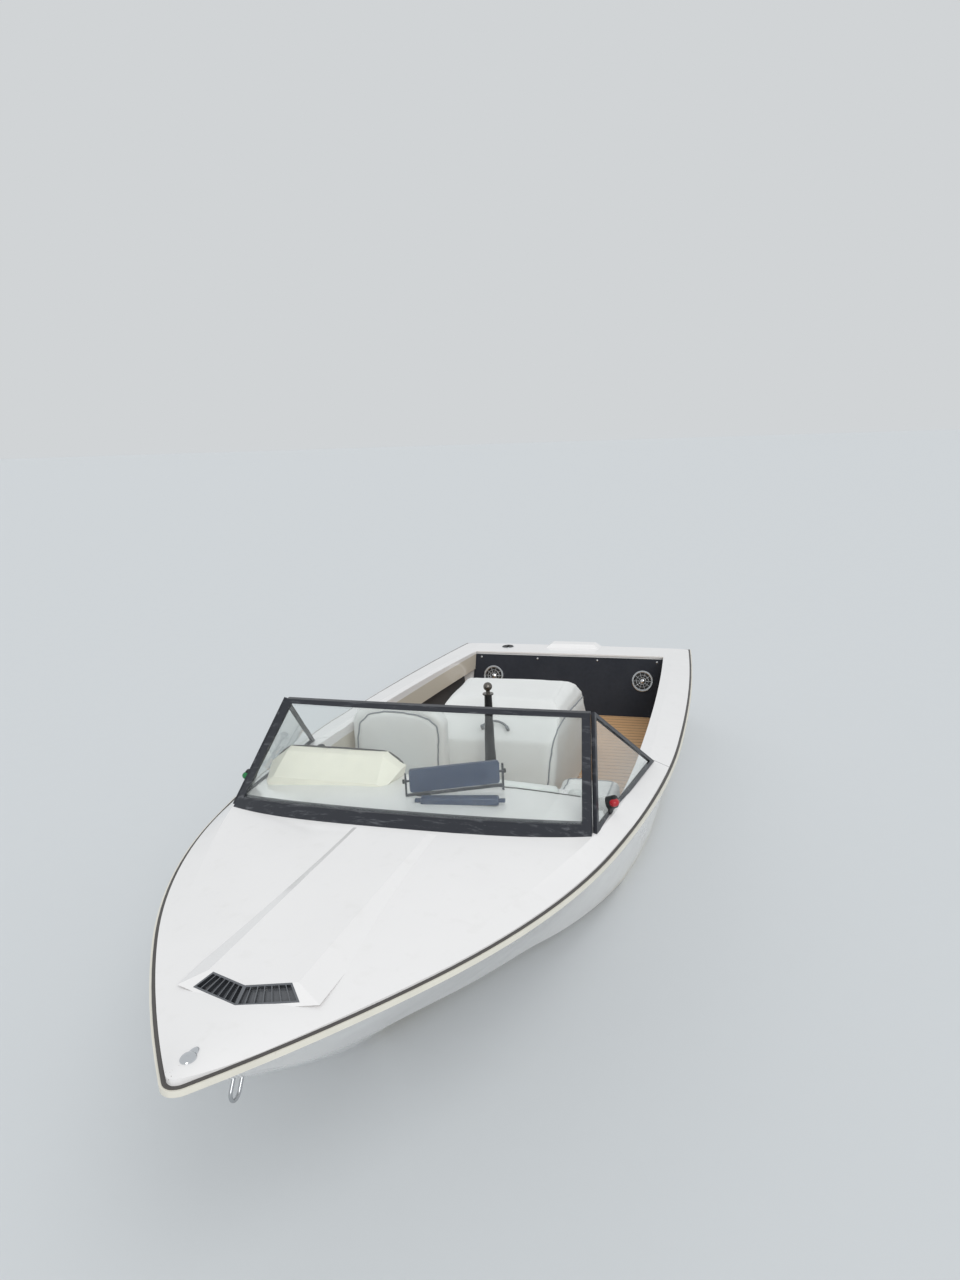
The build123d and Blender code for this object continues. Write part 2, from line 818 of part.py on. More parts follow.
# Seats
driver_y = (-across(768), -310)
driver_mid = (driver_y[0] + driver_y[1]) / 2
driver_width = driver_y[1] - driver_y[0]
back_y = (-across(838), -245)
observer_y = (372, across(740))
observer_mid = (observer_y[0] + observer_y[1]) / 2 - 10
observer_width = observer_y[1] - observer_y[0] - 20
seat_rear = 2600
seat_front = 3060
seat_level = 290
cushion_thick = 120
back_top = 806
back_thick = 100
back_corner = 130
observer_rear = 2430
observer_front = 3040
observer_level = 270
base_inset = 45
base_width = 240
base_shift = 30
back_foot = 330

with BuildPart() as driver_seat_base:
    with BuildSketch(Plane.XY.offset(floor_top)):
        with Locations(((seat_front + seat_rear) / 2, driver_mid + base_shift)):
            RectangleRounded(seat_front - seat_rear - 2 * base_inset, base_width, 30)
    extrude(amount=seat_level - floor_top)

with BuildPart() as driver_seat_cushion:
    with BuildSketch(Plane.XY.offset(seat_level)):
        with Locations(((seat_front + seat_rear) / 2, driver_mid)):
            RectangleRounded(seat_front - seat_rear, driver_width, 60)
    extrude(amount=cushion_thick)
    fillet(driver_seat_cushion.faces().sort_by(Axis.Z)[-1].edges(), 30)

with BuildPart() as driver_seat_back:
    with BuildSketch(Plane.YZ.offset(seat_rear - seat_gap - back_thick)) as back_outline:
        with Locations(((back_y[0] + back_y[1]) / 2, (back_foot + back_top) / 2)):
            Rectangle(back_y[1] - back_y[0], back_top - back_foot)
        fillet(back_outline.vertices().group_by(Axis.Z)[-1], back_corner)
    extrude(amount=back_thick)
    fillet(driver_seat_back.faces().sort_by(Axis.X)[-1].edges().sort_by(Axis.Z)[1:], 20)

with BuildPart() as observer_seat_base:
    with BuildSketch(Plane.XY.offset(floor_top)):
        with Locations(((observer_rear + observer_front) / 2, observer_mid - base_shift)):
            RectangleRounded(
                observer_front - observer_rear - 2 * base_inset, base_width, 30
            )
    extrude(amount=observer_level - floor_top)

with BuildPart() as observer_seat_cushion:
    with BuildSketch(Plane.XY.offset(observer_level)):
        with Locations(((observer_rear + observer_front) / 2, observer_mid)):
            RectangleRounded(observer_front - observer_rear, observer_width, 60)
    extrude(amount=cushion_thick)
    fillet(observer_seat_cushion.faces().sort_by(Axis.Z)[-1].edges(), 40)


# Engine cover: a tapering upholstered box, open below, hinged at its rear foot
cover_columns = ("level", "rear", "front", "rear_half", "front_half", "corner")
cover_rows = (
    (106, 1110, 2498, 400, 350, 60),
    (560, 1557, 2400, 392, 375, 60),
    (650, 1646, 2303, 388, 372, 60),
    (715, 1710, 2233, 366, 352, 60),
    (755, 1760, 2190, 318, 310, 60),
)
cover_middle = -30
cover_wall = 24
engine_top = 535
engine_front = 2350
engine_half = 255
engine_gap = 12
hinge_x = 1080
hinge_z = 124
hinge_y = 250
hinge_radius = 12
hinge_pin = 6
hinge_length = 80
leaf_length = 34
leaf_reach = 64

with BuildPart() as engine_block:
    with BuildSketch(Plane.XY.offset(well_bottom)):
        with Locations(((coupling_x + engine_gap + engine_front) / 2, 0)):
            Rectangle(engine_front - coupling_x - engine_gap, 2 * engine_half)
    extrude(amount=engine_top - well_bottom)


def cover_body(inset):
    """Tapering body of the cover, drawn in all round and lowered on top by the inset."""
    with BuildPart() as body:
        for row, (level, rear, front, rear_half, front_half, corner) in enumerate(cover_rows):
            height = level - inset if row else level
            with BuildSketch(Plane.XY.offset(height)) as outline:
                Polygon(
                    (rear + inset, cover_middle - rear_half + inset),
                    (front - inset, cover_middle - front_half + inset),
                    (front - inset, cover_middle + front_half - inset),
                    (rear + inset, cover_middle + rear_half - inset),
                    align=None,
                )
                fillet(outline.vertices(), corner - inset)
        loft(ruled=True)
    return body.part


with BuildPart() as engine_cover:
    add(cover_body(0))
    add(cover_body(cover_wall), mode=Mode.SUBTRACT)
    for side in (1, -1):
        with BuildSketch(Plane.XZ.offset(-side * hinge_y - hinge_length / 2)):
            with Locations((hinge_x, hinge_z)):
                Circle(hinge_radius)
            with Locations((hinge_x + leaf_reach / 2, hinge_z)):
                Rectangle(leaf_reach, 6)
        extrude(amount=leaf_length)
        with BuildSketch(Plane.XZ.offset(-side * hinge_y - hinge_length / 2)):
            with Locations((hinge_x, hinge_z)):
                Circle(hinge_pin + shaft_play)
        extrude(amount=leaf_length, mode=Mode.SUBTRACT)

with BuildPart() as cover_hinges:
    for side in (1, -1):
        start = -side * hinge_y - hinge_length / 2
        with BuildSketch(Plane.XZ.offset(start + leaf_length + seat_gap)):
            with Locations((hinge_x, hinge_z)):
                Circle(hinge_radius)
            with Locations((hinge_x - 8, floor_top + (hinge_z - floor_top) / 2)):
                Rectangle(14, hinge_z - floor_top)
            with Locations((hinge_x - 20, floor_top + 3)):
                Rectangle(70, 6)
        extrude(amount=hinge_length - leaf_length - seat_gap)
        with BuildSketch(Plane.XZ.offset(start - 4)):
            with Locations((hinge_x, hinge_z)):
                Circle(hinge_pin)
        extrude(amount=hinge_length + 4)

# Pull on the cover's front slope: an arched grip on two posts
handle_rise = 60
grip_half = 75
grip_drop = 20
grip_radius = 7
post_radius = 10
handle_stand = 26
slope_run = cover_rows[1][2] - cover_rows[-1][2]
slope_rise = cover_rows[-1][0] - cover_rows[1][0]
handle_foot = Vector(
    cover_rows[1][2] - slope_run * handle_rise / slope_rise, cover_middle, cover_rows[1][0] + handle_rise
)
handle_plane = Plane(origin=handle_foot, x_dir=(0, 1, 0), z_dir=Vector(slope_rise, 0, slope_run))

with BuildPart() as cover_handle:
    with BuildSketch(handle_plane):
        for end in (-1, 1):
            with Locations((end * grip_half, -grip_drop)):
                Circle(post_radius)
    extrude(amount=handle_stand + grip_radius)
    with BuildLine(handle_plane.offset(handle_stand)) as grip:
        ThreePointArc((-grip_half, -grip_drop), (0, grip_drop), (grip_half, -grip_drop))
    with BuildSketch(Plane(origin=grip.line @ 0, z_dir=grip.line % 0)):
        Circle(grip_radius)
    sweep(path=grip.line)


# Tow pylon: tapered post on a flange, with a collar and a ball head
pylon_x = 2580
pylon_flange = 70
pylon_foot_radius = 42
pylon_neck_radius = 20.5
collar_radius = 30
collar_z = 898
tow_radius = 11
ball_radius = 24.5
pylon_top = 961

with BuildPart() as tow_pylon:
    with BuildSketch(Plane(origin=(pylon_x, 0, 0), x_dir=(1, 0, 0), z_dir=(0, -1, 0))):
        with BuildLine():
            ball_z = pylon_top - ball_radius
            ball_foot = ball_z - sqrt(ball_radius ** 2 - tow_radius ** 2)
            Polyline(
                (0, floor_top),
                (pylon_flange, floor_top),
                (pylon_flange, floor_top + 12),
                (pylon_foot_radius, floor_top + 12),
                (pylon_neck_radius, collar_z - 10),
                (collar_radius, collar_z - 6),
                (collar_radius, collar_z),
                (tow_radius, collar_z),
                (tow_radius, ball_foot),
            )
            ThreePointArc((tow_radius, ball_foot), (ball_radius, ball_z), (0, pylon_top))
            Line((0, pylon_top), (0, floor_top))
        make_face()
    revolve(axis=Axis((pylon_x, 0, 0), (0, 0, 1)))


# Deck and hull hardware
cap_x = 139
cap_y = -across(526)
cap_radius = 44
fitting_x = tip_x - 98
eye_x = tip_x - 286
eye_top = 574
eye_rod = 6
eye_half = 32
stern_eye_y = across(560)
stern_eye_z = 250
exhaust_y = 430
exhaust_z = 60
exhaust_radius = 48


def deck_level(x, y):
    """Height of the deck's top surface."""
    probe = Axis((x, y, 2000), (0, 0, -1))
    return max(point.Z for point, normal in deck.part.find_intersection_points(probe))


with BuildPart() as fuel_filler_cap:
    level = deck_level(cap_x, cap_y)
    with BuildSketch(Plane.XY.offset(level - 3)):
        with Locations((cap_x, cap_y)):
            Circle(cap_radius)
    extrude(amount=10)
    fillet(fuel_filler_cap.faces().sort_by(Axis.Z)[-1].edges(), 3)
    with BuildSketch(Plane.XY.offset(level + 7)):
        with Locations((cap_x, cap_y)):
            Rectangle(50, 10)
    extrude(amount=5)
    add(deck.part, mode=Mode.SUBTRACT)

with BuildPart() as bow_fitting:
    level = deck_level(fitting_x, 0)
    with BuildSketch(Plane.XY.offset(level - 8)):
        with BuildLine():
            nose = ThreePointArc((fitting_x, 22), (fitting_x + 22, 0), (fitting_x, -22))
            Polyline(nose @ 1, (fitting_x - 52, 0), nose @ 0)
        make_face()
    extrude(amount=20)
    fillet(bow_fitting.faces().sort_by(Axis.Z)[-1].edges(), 6)
    add(deck.part, mode=Mode.SUBTRACT)


def eye_bolt(place, outward, along, leg, reach):
    """U-shaped eye bolt: two legs and a half ring, swept along its path."""
    root = Vector(*place)
    out = Vector(*outward).normalized()
    run = Vector(*along).normalized()
    with BuildPart() as bolt:
        with BuildLine() as path:
            lower = Line(root - run * reach - out * leg, root - run * reach + out * leg)
            bend = ThreePointArc(lower @ 1, root + out * (leg + reach), root + run * reach + out * leg)
            Line(bend @ 1, root + run * reach - out * leg)
        with BuildSketch(Plane(origin=path.line @ 0, z_dir=path.line % 0)):
            Circle(eye_rod)
        sweep(path=path.line)
    return bolt.part


stem_rise = Vector(163, 0, 116).normalized()
with BuildPart() as bow_bolt:
    add(eye_bolt((eye_x - 24, 0, eye_top - 24), (stem_rise.Z, 0, -stem_rise.X), tuple(stem_rise), 26, 26))
    add(hull.part, mode=Mode.SUBTRACT)
with BuildPart() as bow_eye:
    add(bow_bolt.part.solids().sort_by(Axis.Z)[0])

with BuildPart() as stern_eyes:
    for side in (1, -1):
        add(eye_bolt((0, side * stern_eye_y, stern_eye_z), (-1, 0, 0), (0, 0, 1), 28, 24))
    split(bisect_by=Plane.YZ, keep=Keep.BOTTOM)

with BuildPart() as exhaust_outlets:
    for side in (1, -1):
        with BuildSketch(Plane.YZ):
            with Locations((side * exhaust_y, exhaust_z)):
                Circle(exhaust_radius + 14)
                Circle(exhaust_radius - 5, mode=Mode.SUBTRACT)
        extrude(amount=-8)
        with BuildSketch(Plane.YZ):
            with Locations((side * exhaust_y, exhaust_z)):
                Circle(exhaust_radius)
                Circle(exhaust_radius - 5, mode=Mode.SUBTRACT)
        extrude(amount=-60)


# Drive line: log, shaft, strut and propeller on one axis, rudder and its gland, fins
log_length = 330
strut_at = 190
strut_radius = 30
strut_length = 110
blade_count = 3
rudder_top = -345
rudder_low = -690
rudder_front = 90
rudder_rear = 160
gland_flange = 52


def keel_level(x):
    """Height of the hull's bottom on the centreline."""
    for (x0, z0, _, _), (x1, z1, _, _) in zip(hull_stations, hull_stations[1:]):
        if x <= x1:
            return z0 + (z1 - z0) * (x - x0) / (x1 - x0)
    return 0


def along_shaft(distance):
    """Plane across the shaft at a distance forward of the propeller's centre."""
    place = Vector(*shaft_axis.position) + Vector(*shaft_axis.direction) * distance
    return Plane(origin=place, x_dir=(0, 1, 0), z_dir=shaft_axis.direction)


shaft_end = (coupling_x - prop_x) / cos(radians(shaft_angle))
shaft_exit = (keel_level(1400) - prop_z) / sin(radians(shaft_angle))

with BuildPart() as propeller_shaft:
    with BuildSketch(along_shaft(hub_length / 2 + seat_gap)):
        Circle(shaft_radius)
    extrude(amount=shaft_end - hub_length / 2 - seat_gap)
    with BuildSketch(along_shaft(shaft_end - 40)):
        Circle(48)
    extrude(amount=34)

with BuildPart() as shaft_log:
    with BuildSketch(along_shaft(shaft_exit - 60)):
        Circle(shaft_bore - seat_gap)
        Circle(shaft_radius + 2, mode=Mode.SUBTRACT)
    extrude(amount=log_length)

with BuildPart() as strut_blank:
    with BuildSketch(along_shaft(strut_at - strut_length / 2)):
        Circle(strut_radius)
    extrude(amount=strut_length)
    strut_x = prop_x + strut_at * cos(radians(shaft_angle))
    strut_z = prop_z + strut_at * sin(radians(shaft_angle))
    with BuildSketch(Plane.XY.offset(strut_z)):
        with Locations((strut_x, 0)):
            SlotOverall(96, 16)
    extrude(amount=-310 + 30 - strut_z)
    with BuildSketch(Plane.XY.offset(-318)):
        with Locations((strut_x, 0)):
            RectangleRounded(170, 70, 12)
    extrude(amount=60)
    with BuildSketch(along_shaft(strut_at - strut_length)):
        Circle(shaft_radius + shaft_play)
    extrude(amount=2 * strut_length, mode=Mode.SUBTRACT)
    add(hull.part, mode=Mode.SUBTRACT)
with BuildPart() as shaft_strut:
    add(strut_blank.part.solids().sort_by(SortBy.VOLUME)[-1])

with BuildPart() as propeller:
    with BuildSketch(along_shaft(-hub_length / 2)):
        Circle(hub_radius)
    extrude(amount=hub_length)
    blade_plane = along_shaft(0)
    for blade in range(blade_count):
        turn = 360 / blade_count * blade
        spoke = blade_plane.rotated((0, 0, turn))
        root = Plane(origin=blade_plane.origin, x_dir=spoke.y_dir, z_dir=spoke.x_dir)
        for radius, chord, pitch in ((hub_radius - 10, 70, 52), (100, 120, 34), (prop_radius - 12, 70, 24)):
            section_plane = root.offset(radius).rotated((0, 0, 90 - pitch))
            with BuildSketch(section_plane):
                SlotOverall(chord, 9 - 4 * radius / prop_radius)
        loft()

with BuildPart() as rudder:
    with BuildSketch(Plane.XZ.offset(-7)):
        Polygon(
            (rudder_x - rudder_rear, rudder_top),
            (rudder_x + rudder_front, rudder_top),
            (rudder_x + rudder_front - 30, rudder_low),
            (rudder_x - rudder_rear + 50, rudder_low),
            align=None,
        )
    extrude(amount=14)
    with BuildSketch(Plane.XY.offset(rudder_top - 60)):
        with Locations((rudder_x, 0)):
            Circle(stock_radius)
    extrude(amount=300)

with BuildPart() as rudder_gland:
    with BuildSketch(Plane.XY.offset(rudder_top + moving_gap)):
        with Locations((rudder_x, 0)):
            Circle(gland_flange)
    extrude(amount=60)
    add(hull.part, mode=Mode.SUBTRACT)
    with BuildSketch(Plane.XY.offset(rudder_top + moving_gap)):
        with Locations((rudder_x, 0)):
            Circle(gland_radius)
    extrude(amount=240)
    with BuildSketch(Plane.XY.offset(rudder_top)):
        with Locations((rudder_x, 0)):
            Circle(stock_radius + shaft_play)
    extrude(amount=400, mode=Mode.SUBTRACT)

fin_places = (2060, 2420, 2780)
fin_length = 230
fin_drop = 88
with BuildPart() as tracking_fins:
    for fin_x in fin_places:
        with BuildSketch(Plane.XZ.offset(-4)):
            foot = keel_level(fin_x)
            Polygon(
                (fin_x - fin_length / 2, foot + 30),
                (fin_x + fin_length / 2, foot + 30),
                (fin_x + fin_length / 2 - 50, foot - fin_drop),
                (fin_x - fin_length / 2 + 14, foot - fin_drop),
                align=None,
            )
        extrude(amount=8)
    add(hull.part, mode=Mode.SUBTRACT)


# Every piece is labelled and written
pieces = {
    "hull": hull,
    "deck": deck,
    "rub_rail": rub_rail,
    "rail_insert": rail_insert,
    "cockpit_floor": cockpit_floor,
    "rear_panel": rear_panel,
    "side_linings": side_linings,
    "speaker_cones": speaker_cones,
    "speaker_grilles": speaker_grilles,
    "engine_block": engine_block,
    "tow_pylon": tow_pylon,
    "windscreen_frame": windscreen_frame,
    "windscreen_glass": windscreen_glass,
    "wing_frames": wing_frames,
    "wing_glass": wing_glass,
    "nav_light_port": nav_light_port,
    "nav_light_starboard": nav_light_starboard,
    "instrument_pod": instrument_pod,
    "dash_panel": dash_panel,
    "dash_trim": dash_trim,
    "mirror_bracket": mirror_bracket,
    "mirror": mirror,
    "steering_wheel": steering_wheel,
    "throttle_control": throttle_control,
    "driver_seat_base": driver_seat_base,
    "driver_seat_cushion": driver_seat_cushion,
    "driver_seat_back": driver_seat_back,
    "observer_seat_base": observer_seat_base,
    "observer_seat_cushion": observer_seat_cushion,
    "bow_vent": bow_vent,
    "bow_fitting": bow_fitting,
    "bow_eye": bow_eye,
    "stern_eyes": stern_eyes,
    "fuel_filler_cap": fuel_filler_cap,
    "exhaust_outlets": exhaust_outlets,
    "shaft_log": shaft_log,
    "shaft_strut": shaft_strut,
    "rudder_gland": rudder_gland,
    "tracking_fins": tracking_fins,
    "engine_cover": engine_cover,
    "cover_handle": cover_handle,
    "cover_hinges": cover_hinges,
    "propeller": propeller,
    "propeller_shaft": propeller_shaft,
    "rudder": rudder,
}
for name, piece in pieces.items():
    piece.part.label = name
    export_step(piece.part, f"parts/{name}.step")
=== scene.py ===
"""Looks of an inboard ski speedboat afloat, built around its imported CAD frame. Metres throughout.

X runs forward from the transom, Y to port and Z up, with the waterline and the floor at zero.
"""
import json
import logging
import math
from dataclasses import dataclass
from enum import Enum

import bmesh
import bpy
from mathutils import Matrix, Quaternion, Vector
from mathutils.bvhtree import BVHTree
from mathutils.noise import noise

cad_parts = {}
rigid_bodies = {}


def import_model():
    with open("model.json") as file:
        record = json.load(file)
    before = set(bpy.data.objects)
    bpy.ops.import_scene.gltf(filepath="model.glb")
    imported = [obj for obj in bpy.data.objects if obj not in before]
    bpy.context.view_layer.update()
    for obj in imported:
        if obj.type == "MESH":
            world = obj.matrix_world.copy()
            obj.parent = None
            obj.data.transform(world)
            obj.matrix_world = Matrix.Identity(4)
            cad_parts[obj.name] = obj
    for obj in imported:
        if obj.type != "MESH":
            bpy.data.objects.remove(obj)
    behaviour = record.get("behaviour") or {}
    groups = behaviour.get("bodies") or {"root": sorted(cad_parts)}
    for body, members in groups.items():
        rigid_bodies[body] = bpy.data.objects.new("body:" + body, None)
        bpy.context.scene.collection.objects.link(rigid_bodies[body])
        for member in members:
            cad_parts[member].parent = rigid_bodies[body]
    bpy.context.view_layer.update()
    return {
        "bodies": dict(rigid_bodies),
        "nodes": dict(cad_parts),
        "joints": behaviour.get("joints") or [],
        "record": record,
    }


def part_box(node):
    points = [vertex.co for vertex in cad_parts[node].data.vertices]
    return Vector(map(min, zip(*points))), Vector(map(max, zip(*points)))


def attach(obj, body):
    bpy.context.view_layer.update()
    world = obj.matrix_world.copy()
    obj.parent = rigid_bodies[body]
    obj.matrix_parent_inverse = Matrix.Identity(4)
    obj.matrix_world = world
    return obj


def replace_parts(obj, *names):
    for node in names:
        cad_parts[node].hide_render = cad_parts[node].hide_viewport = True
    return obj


LOG = logging.getLogger("speedboat")
ROOT = "hull_body"
MM = 0.001
SHEER_STERN = 0.523
SHEER_RISE = 0.234 / 5.658
COAT_ROUGHNESS = 0.06
BUMP_STRENGTH = 0.8
Tree = bpy.types.NodeTree
Socket = bpy.types.NodeSocket
Piece = bpy.types.Object


def linear(code: str) -> tuple[float, float, float, float]:
    """Turns an sRGB hex colour into the linear values that shaders take.

    Args:
        code: Colour as six hex digits after a hash.

    Returns:
        Linear red, green and blue with an alpha of one.
    """
    channels = [int(code[at:at + 2], 16) / 255 for at in (1, 3, 5)]
    return (*(c / 12.92 if c <= 0.04045 else ((c + 0.055) / 1.055) ** 2.4 for c in channels), 1.0)


def add_node(tree: Tree, kind: str, inputs: dict | None = None, **settings) -> bpy.types.Node:
    """Adds one shader node with its settings and its links.

    Args:
        tree: Node tree that takes the node.
        kind: Node type without its ShaderNode prefix.
        inputs: Input name or number to a plain value, or to the output socket that feeds it.
        settings: Properties of the node itself.

    Returns:
        The new node.
    """
    node = tree.nodes.new("ShaderNode" + kind)
    for name, value in settings.items():
        setattr(node, name, value)
    for name, value in (inputs or {}).items():
        if isinstance(value, Socket):
            tree.links.new(value, node.inputs[name])
        else:
            node.inputs[name].default_value = value
    return node


def calc(tree: Tree, operation: str, *values: float | Socket) -> Socket:
    """Works out one sum at every point of a surface, from its operands in order."""
    return add_node(tree, "Math", dict(enumerate(values)), operation=operation).outputs["Value"]


def blend(tree: Tree, share: Socket, first: tuple | Socket, second: tuple | Socket) -> Socket:
    """Mixes two colours: the second one shows by its share."""
    inputs = {"Factor": share, 6: first, 7: second}
    return add_node(tree, "Mix", inputs, data_type="RGBA").outputs[2]


def mapped(tree: Tree, value: Socket, given: tuple, wanted: tuple = (0.0, 1.0)) -> Socket:
    """Maps one range of values onto another, and holds them beyond its ends.

    Args:
        tree: Node tree that takes the node.
        value: Values that come in.
        given: Start and end of their range.
        wanted: What the start and the end become.

    Returns:
        The mapped values.
    """
    inputs = {"Value": value, "From Min": given[0], "From Max": given[1]}
    inputs |= {"To Min": wanted[0], "To Max": wanted[1]}
    return add_node(tree, "MapRange", inputs).outputs["Result"]


def clouds(tree: Tree, place: Socket, size_mm: float, detail: float = 2.0, rough: float = 0.5) -> Socket:
    """Draws noise whose largest clouds have a real size in millimetres."""
    inputs = {"Vector": place, "Scale": 1 / (size_mm * MM), "Detail": detail, "Roughness": rough}
    return add_node(tree, "TexNoise", inputs).outputs["Fac"]


def stretched(tree: Tree, place: Socket, scale: tuple) -> Socket:
    """Squeezes places along each axis, which draws out what is drawn at them."""
    return add_node(tree, "Mapping", {"Vector": place, "Scale": scale}).outputs["Vector"]


def along_axis(tree: Tree, place: Socket, axis: str) -> Socket:
    """One coordinate of a place or a direction."""
    return add_node(tree, "SeparateXYZ", {"Vector": place}).outputs[axis]


class Grain(Enum):
    """How a surface's fine relief was made."""

    NONE = "none"
    SPRAYED = "sprayed"
    LEATHER = "leather"
    TUFTED = "tufted"
    BRUSHED = "brushed"
    CAST = "cast"


@dataclass(frozen=True)
class Finish:
    """A surface finish, named for the real material and how its surface was made.

    The grain and mottle sizes are real ones in millimetres, drawn no finer than a render can show.
    """

    name: str
    colour: str
    roughness: float = 0.5
    metallic: float = 0.0
    coat: float = 0.0
    sheen: float = 0.0
    grain: Grain = Grain.NONE
    grain_mm: float = 2.0
    relief_mm: float = 0.1
    mottle: float = 0.06
    mottle_mm: float = 80.0
    smear_mm: float = 150.0
    wear_and_highlight_colour: str = "#8A8A88"
    wear: float = 0.0
    wear_mm: float = 18.0
    wear_run: tuple[float, float, float] = (1.0, 1.0, 1.0)
    wear_from: float = 0.62
    wear_edge: float = 0.12

    def build(self) -> bpy.types.Material:
        """Makes the material, or finds the one that was made before.

        Returns:
            The material, under the finish's own name.
        """
        if self.name in bpy.data.materials:
            return bpy.data.materials[self.name]
        material = bpy.data.materials.new(self.name)
        material.use_nodes = True
        tree = material.node_tree
        shader = tree.nodes["Principled BSDF"]
        shader.inputs["Metallic"].default_value = self.metallic
        shader.inputs["Coat Weight"].default_value = self.coat
        shader.inputs["Coat Roughness"].default_value = COAT_ROUGHNESS
        shader.inputs["Sheen Weight"].default_value = self.sheen
        place = add_node(tree, "TexCoord").outputs["Object"]
        tree.links.new(self.tint(tree, place), shader.inputs["Base Color"])
        tree.links.new(self.gloss(tree, place), shader.inputs["Roughness"])
        height = self.relief(tree, place)
        if height is not None:
            inputs = {"Strength": BUMP_STRENGTH, "Distance": self.relief_mm * MM, "Height": height}
            tree.links.new(add_node(tree, "Bump", inputs).outputs["Normal"], shader.inputs["Normal"])
        self.special(tree, shader, place)
        return material

    def tint(self, tree: Tree, place: Socket) -> Socket:
        """Colour that varies gently over the surface, with patches of a second colour where the finish
        has any: wear, and on the black anodised aluminium partly a painted highlight.

        Args:
            tree: Node tree of the material.
            place: Coordinates of the surface in metres.

        Returns:
            The colour at every point.
        """
        dark, light = (
            (*(min(channel * shift, 1.0) for channel in linear(self.colour)[:3]), 1.0)
            for shift in (1 - self.mottle, 1 + self.mottle)
        )
        mottled = blend(tree, clouds(tree, place, self.mottle_mm, 4.0), dark, light)
        if not self.wear:
            return mottled
        # second colour: wear, and on the black anodised aluminium lighter streaks that are partly a
        # painted highlight
        wear_and_highlight_noise = clouds(tree, stretched(tree, place, self.wear_run), self.wear_mm, 8.0, 0.75)
        bare = mapped(tree, wear_and_highlight_noise, (self.wear_from, self.wear_from + self.wear_edge), (0.0, self.wear))
        return blend(tree, bare, mottled, linear(self.wear_and_highlight_colour))

    def gloss(self, tree: Tree, place: Socket) -> Socket:
        """Roughness with the smears that handling and weather leave."""
        smooth, rough = max(self.roughness * 0.75, 0.02), min(self.roughness * 1.3, 1.0)
        return mapped(tree, clouds(tree, place, self.smear_mm, 3.0), (0.0, 1.0), (smooth, rough))

    def relief(self, tree: Tree, place: Socket) -> Socket | None:
        """Height of the fine relief, or nothing on a smooth surface.

        Args:
            tree: Node tree of the material.
            place: Coordinates of the surface in metres.

        Returns:
            The height at every point, or None.
        """
        if self.grain is Grain.NONE:
            return None
        if self.grain is Grain.LEATHER:
            inputs = {"Vector": place, "Scale": 1 / (self.grain_mm * MM)}
            cells = add_node(tree, "TexVoronoi", inputs, feature="DISTANCE_TO_EDGE")
            return mapped(tree, cells.outputs["Distance"], (0.0, 0.25))
        if self.grain is Grain.BRUSHED:
            return clouds(tree, stretched(tree, place, (0.04, 1.0, 1.0)), self.grain_mm)
        return clouds(tree, place, self.grain_mm, 2.0 if self.grain is Grain.SPRAYED else 8.0)

    def special(self, tree: Tree, shader: bpy.types.Node, place: Socket) -> None:
        """What only this finish has."""


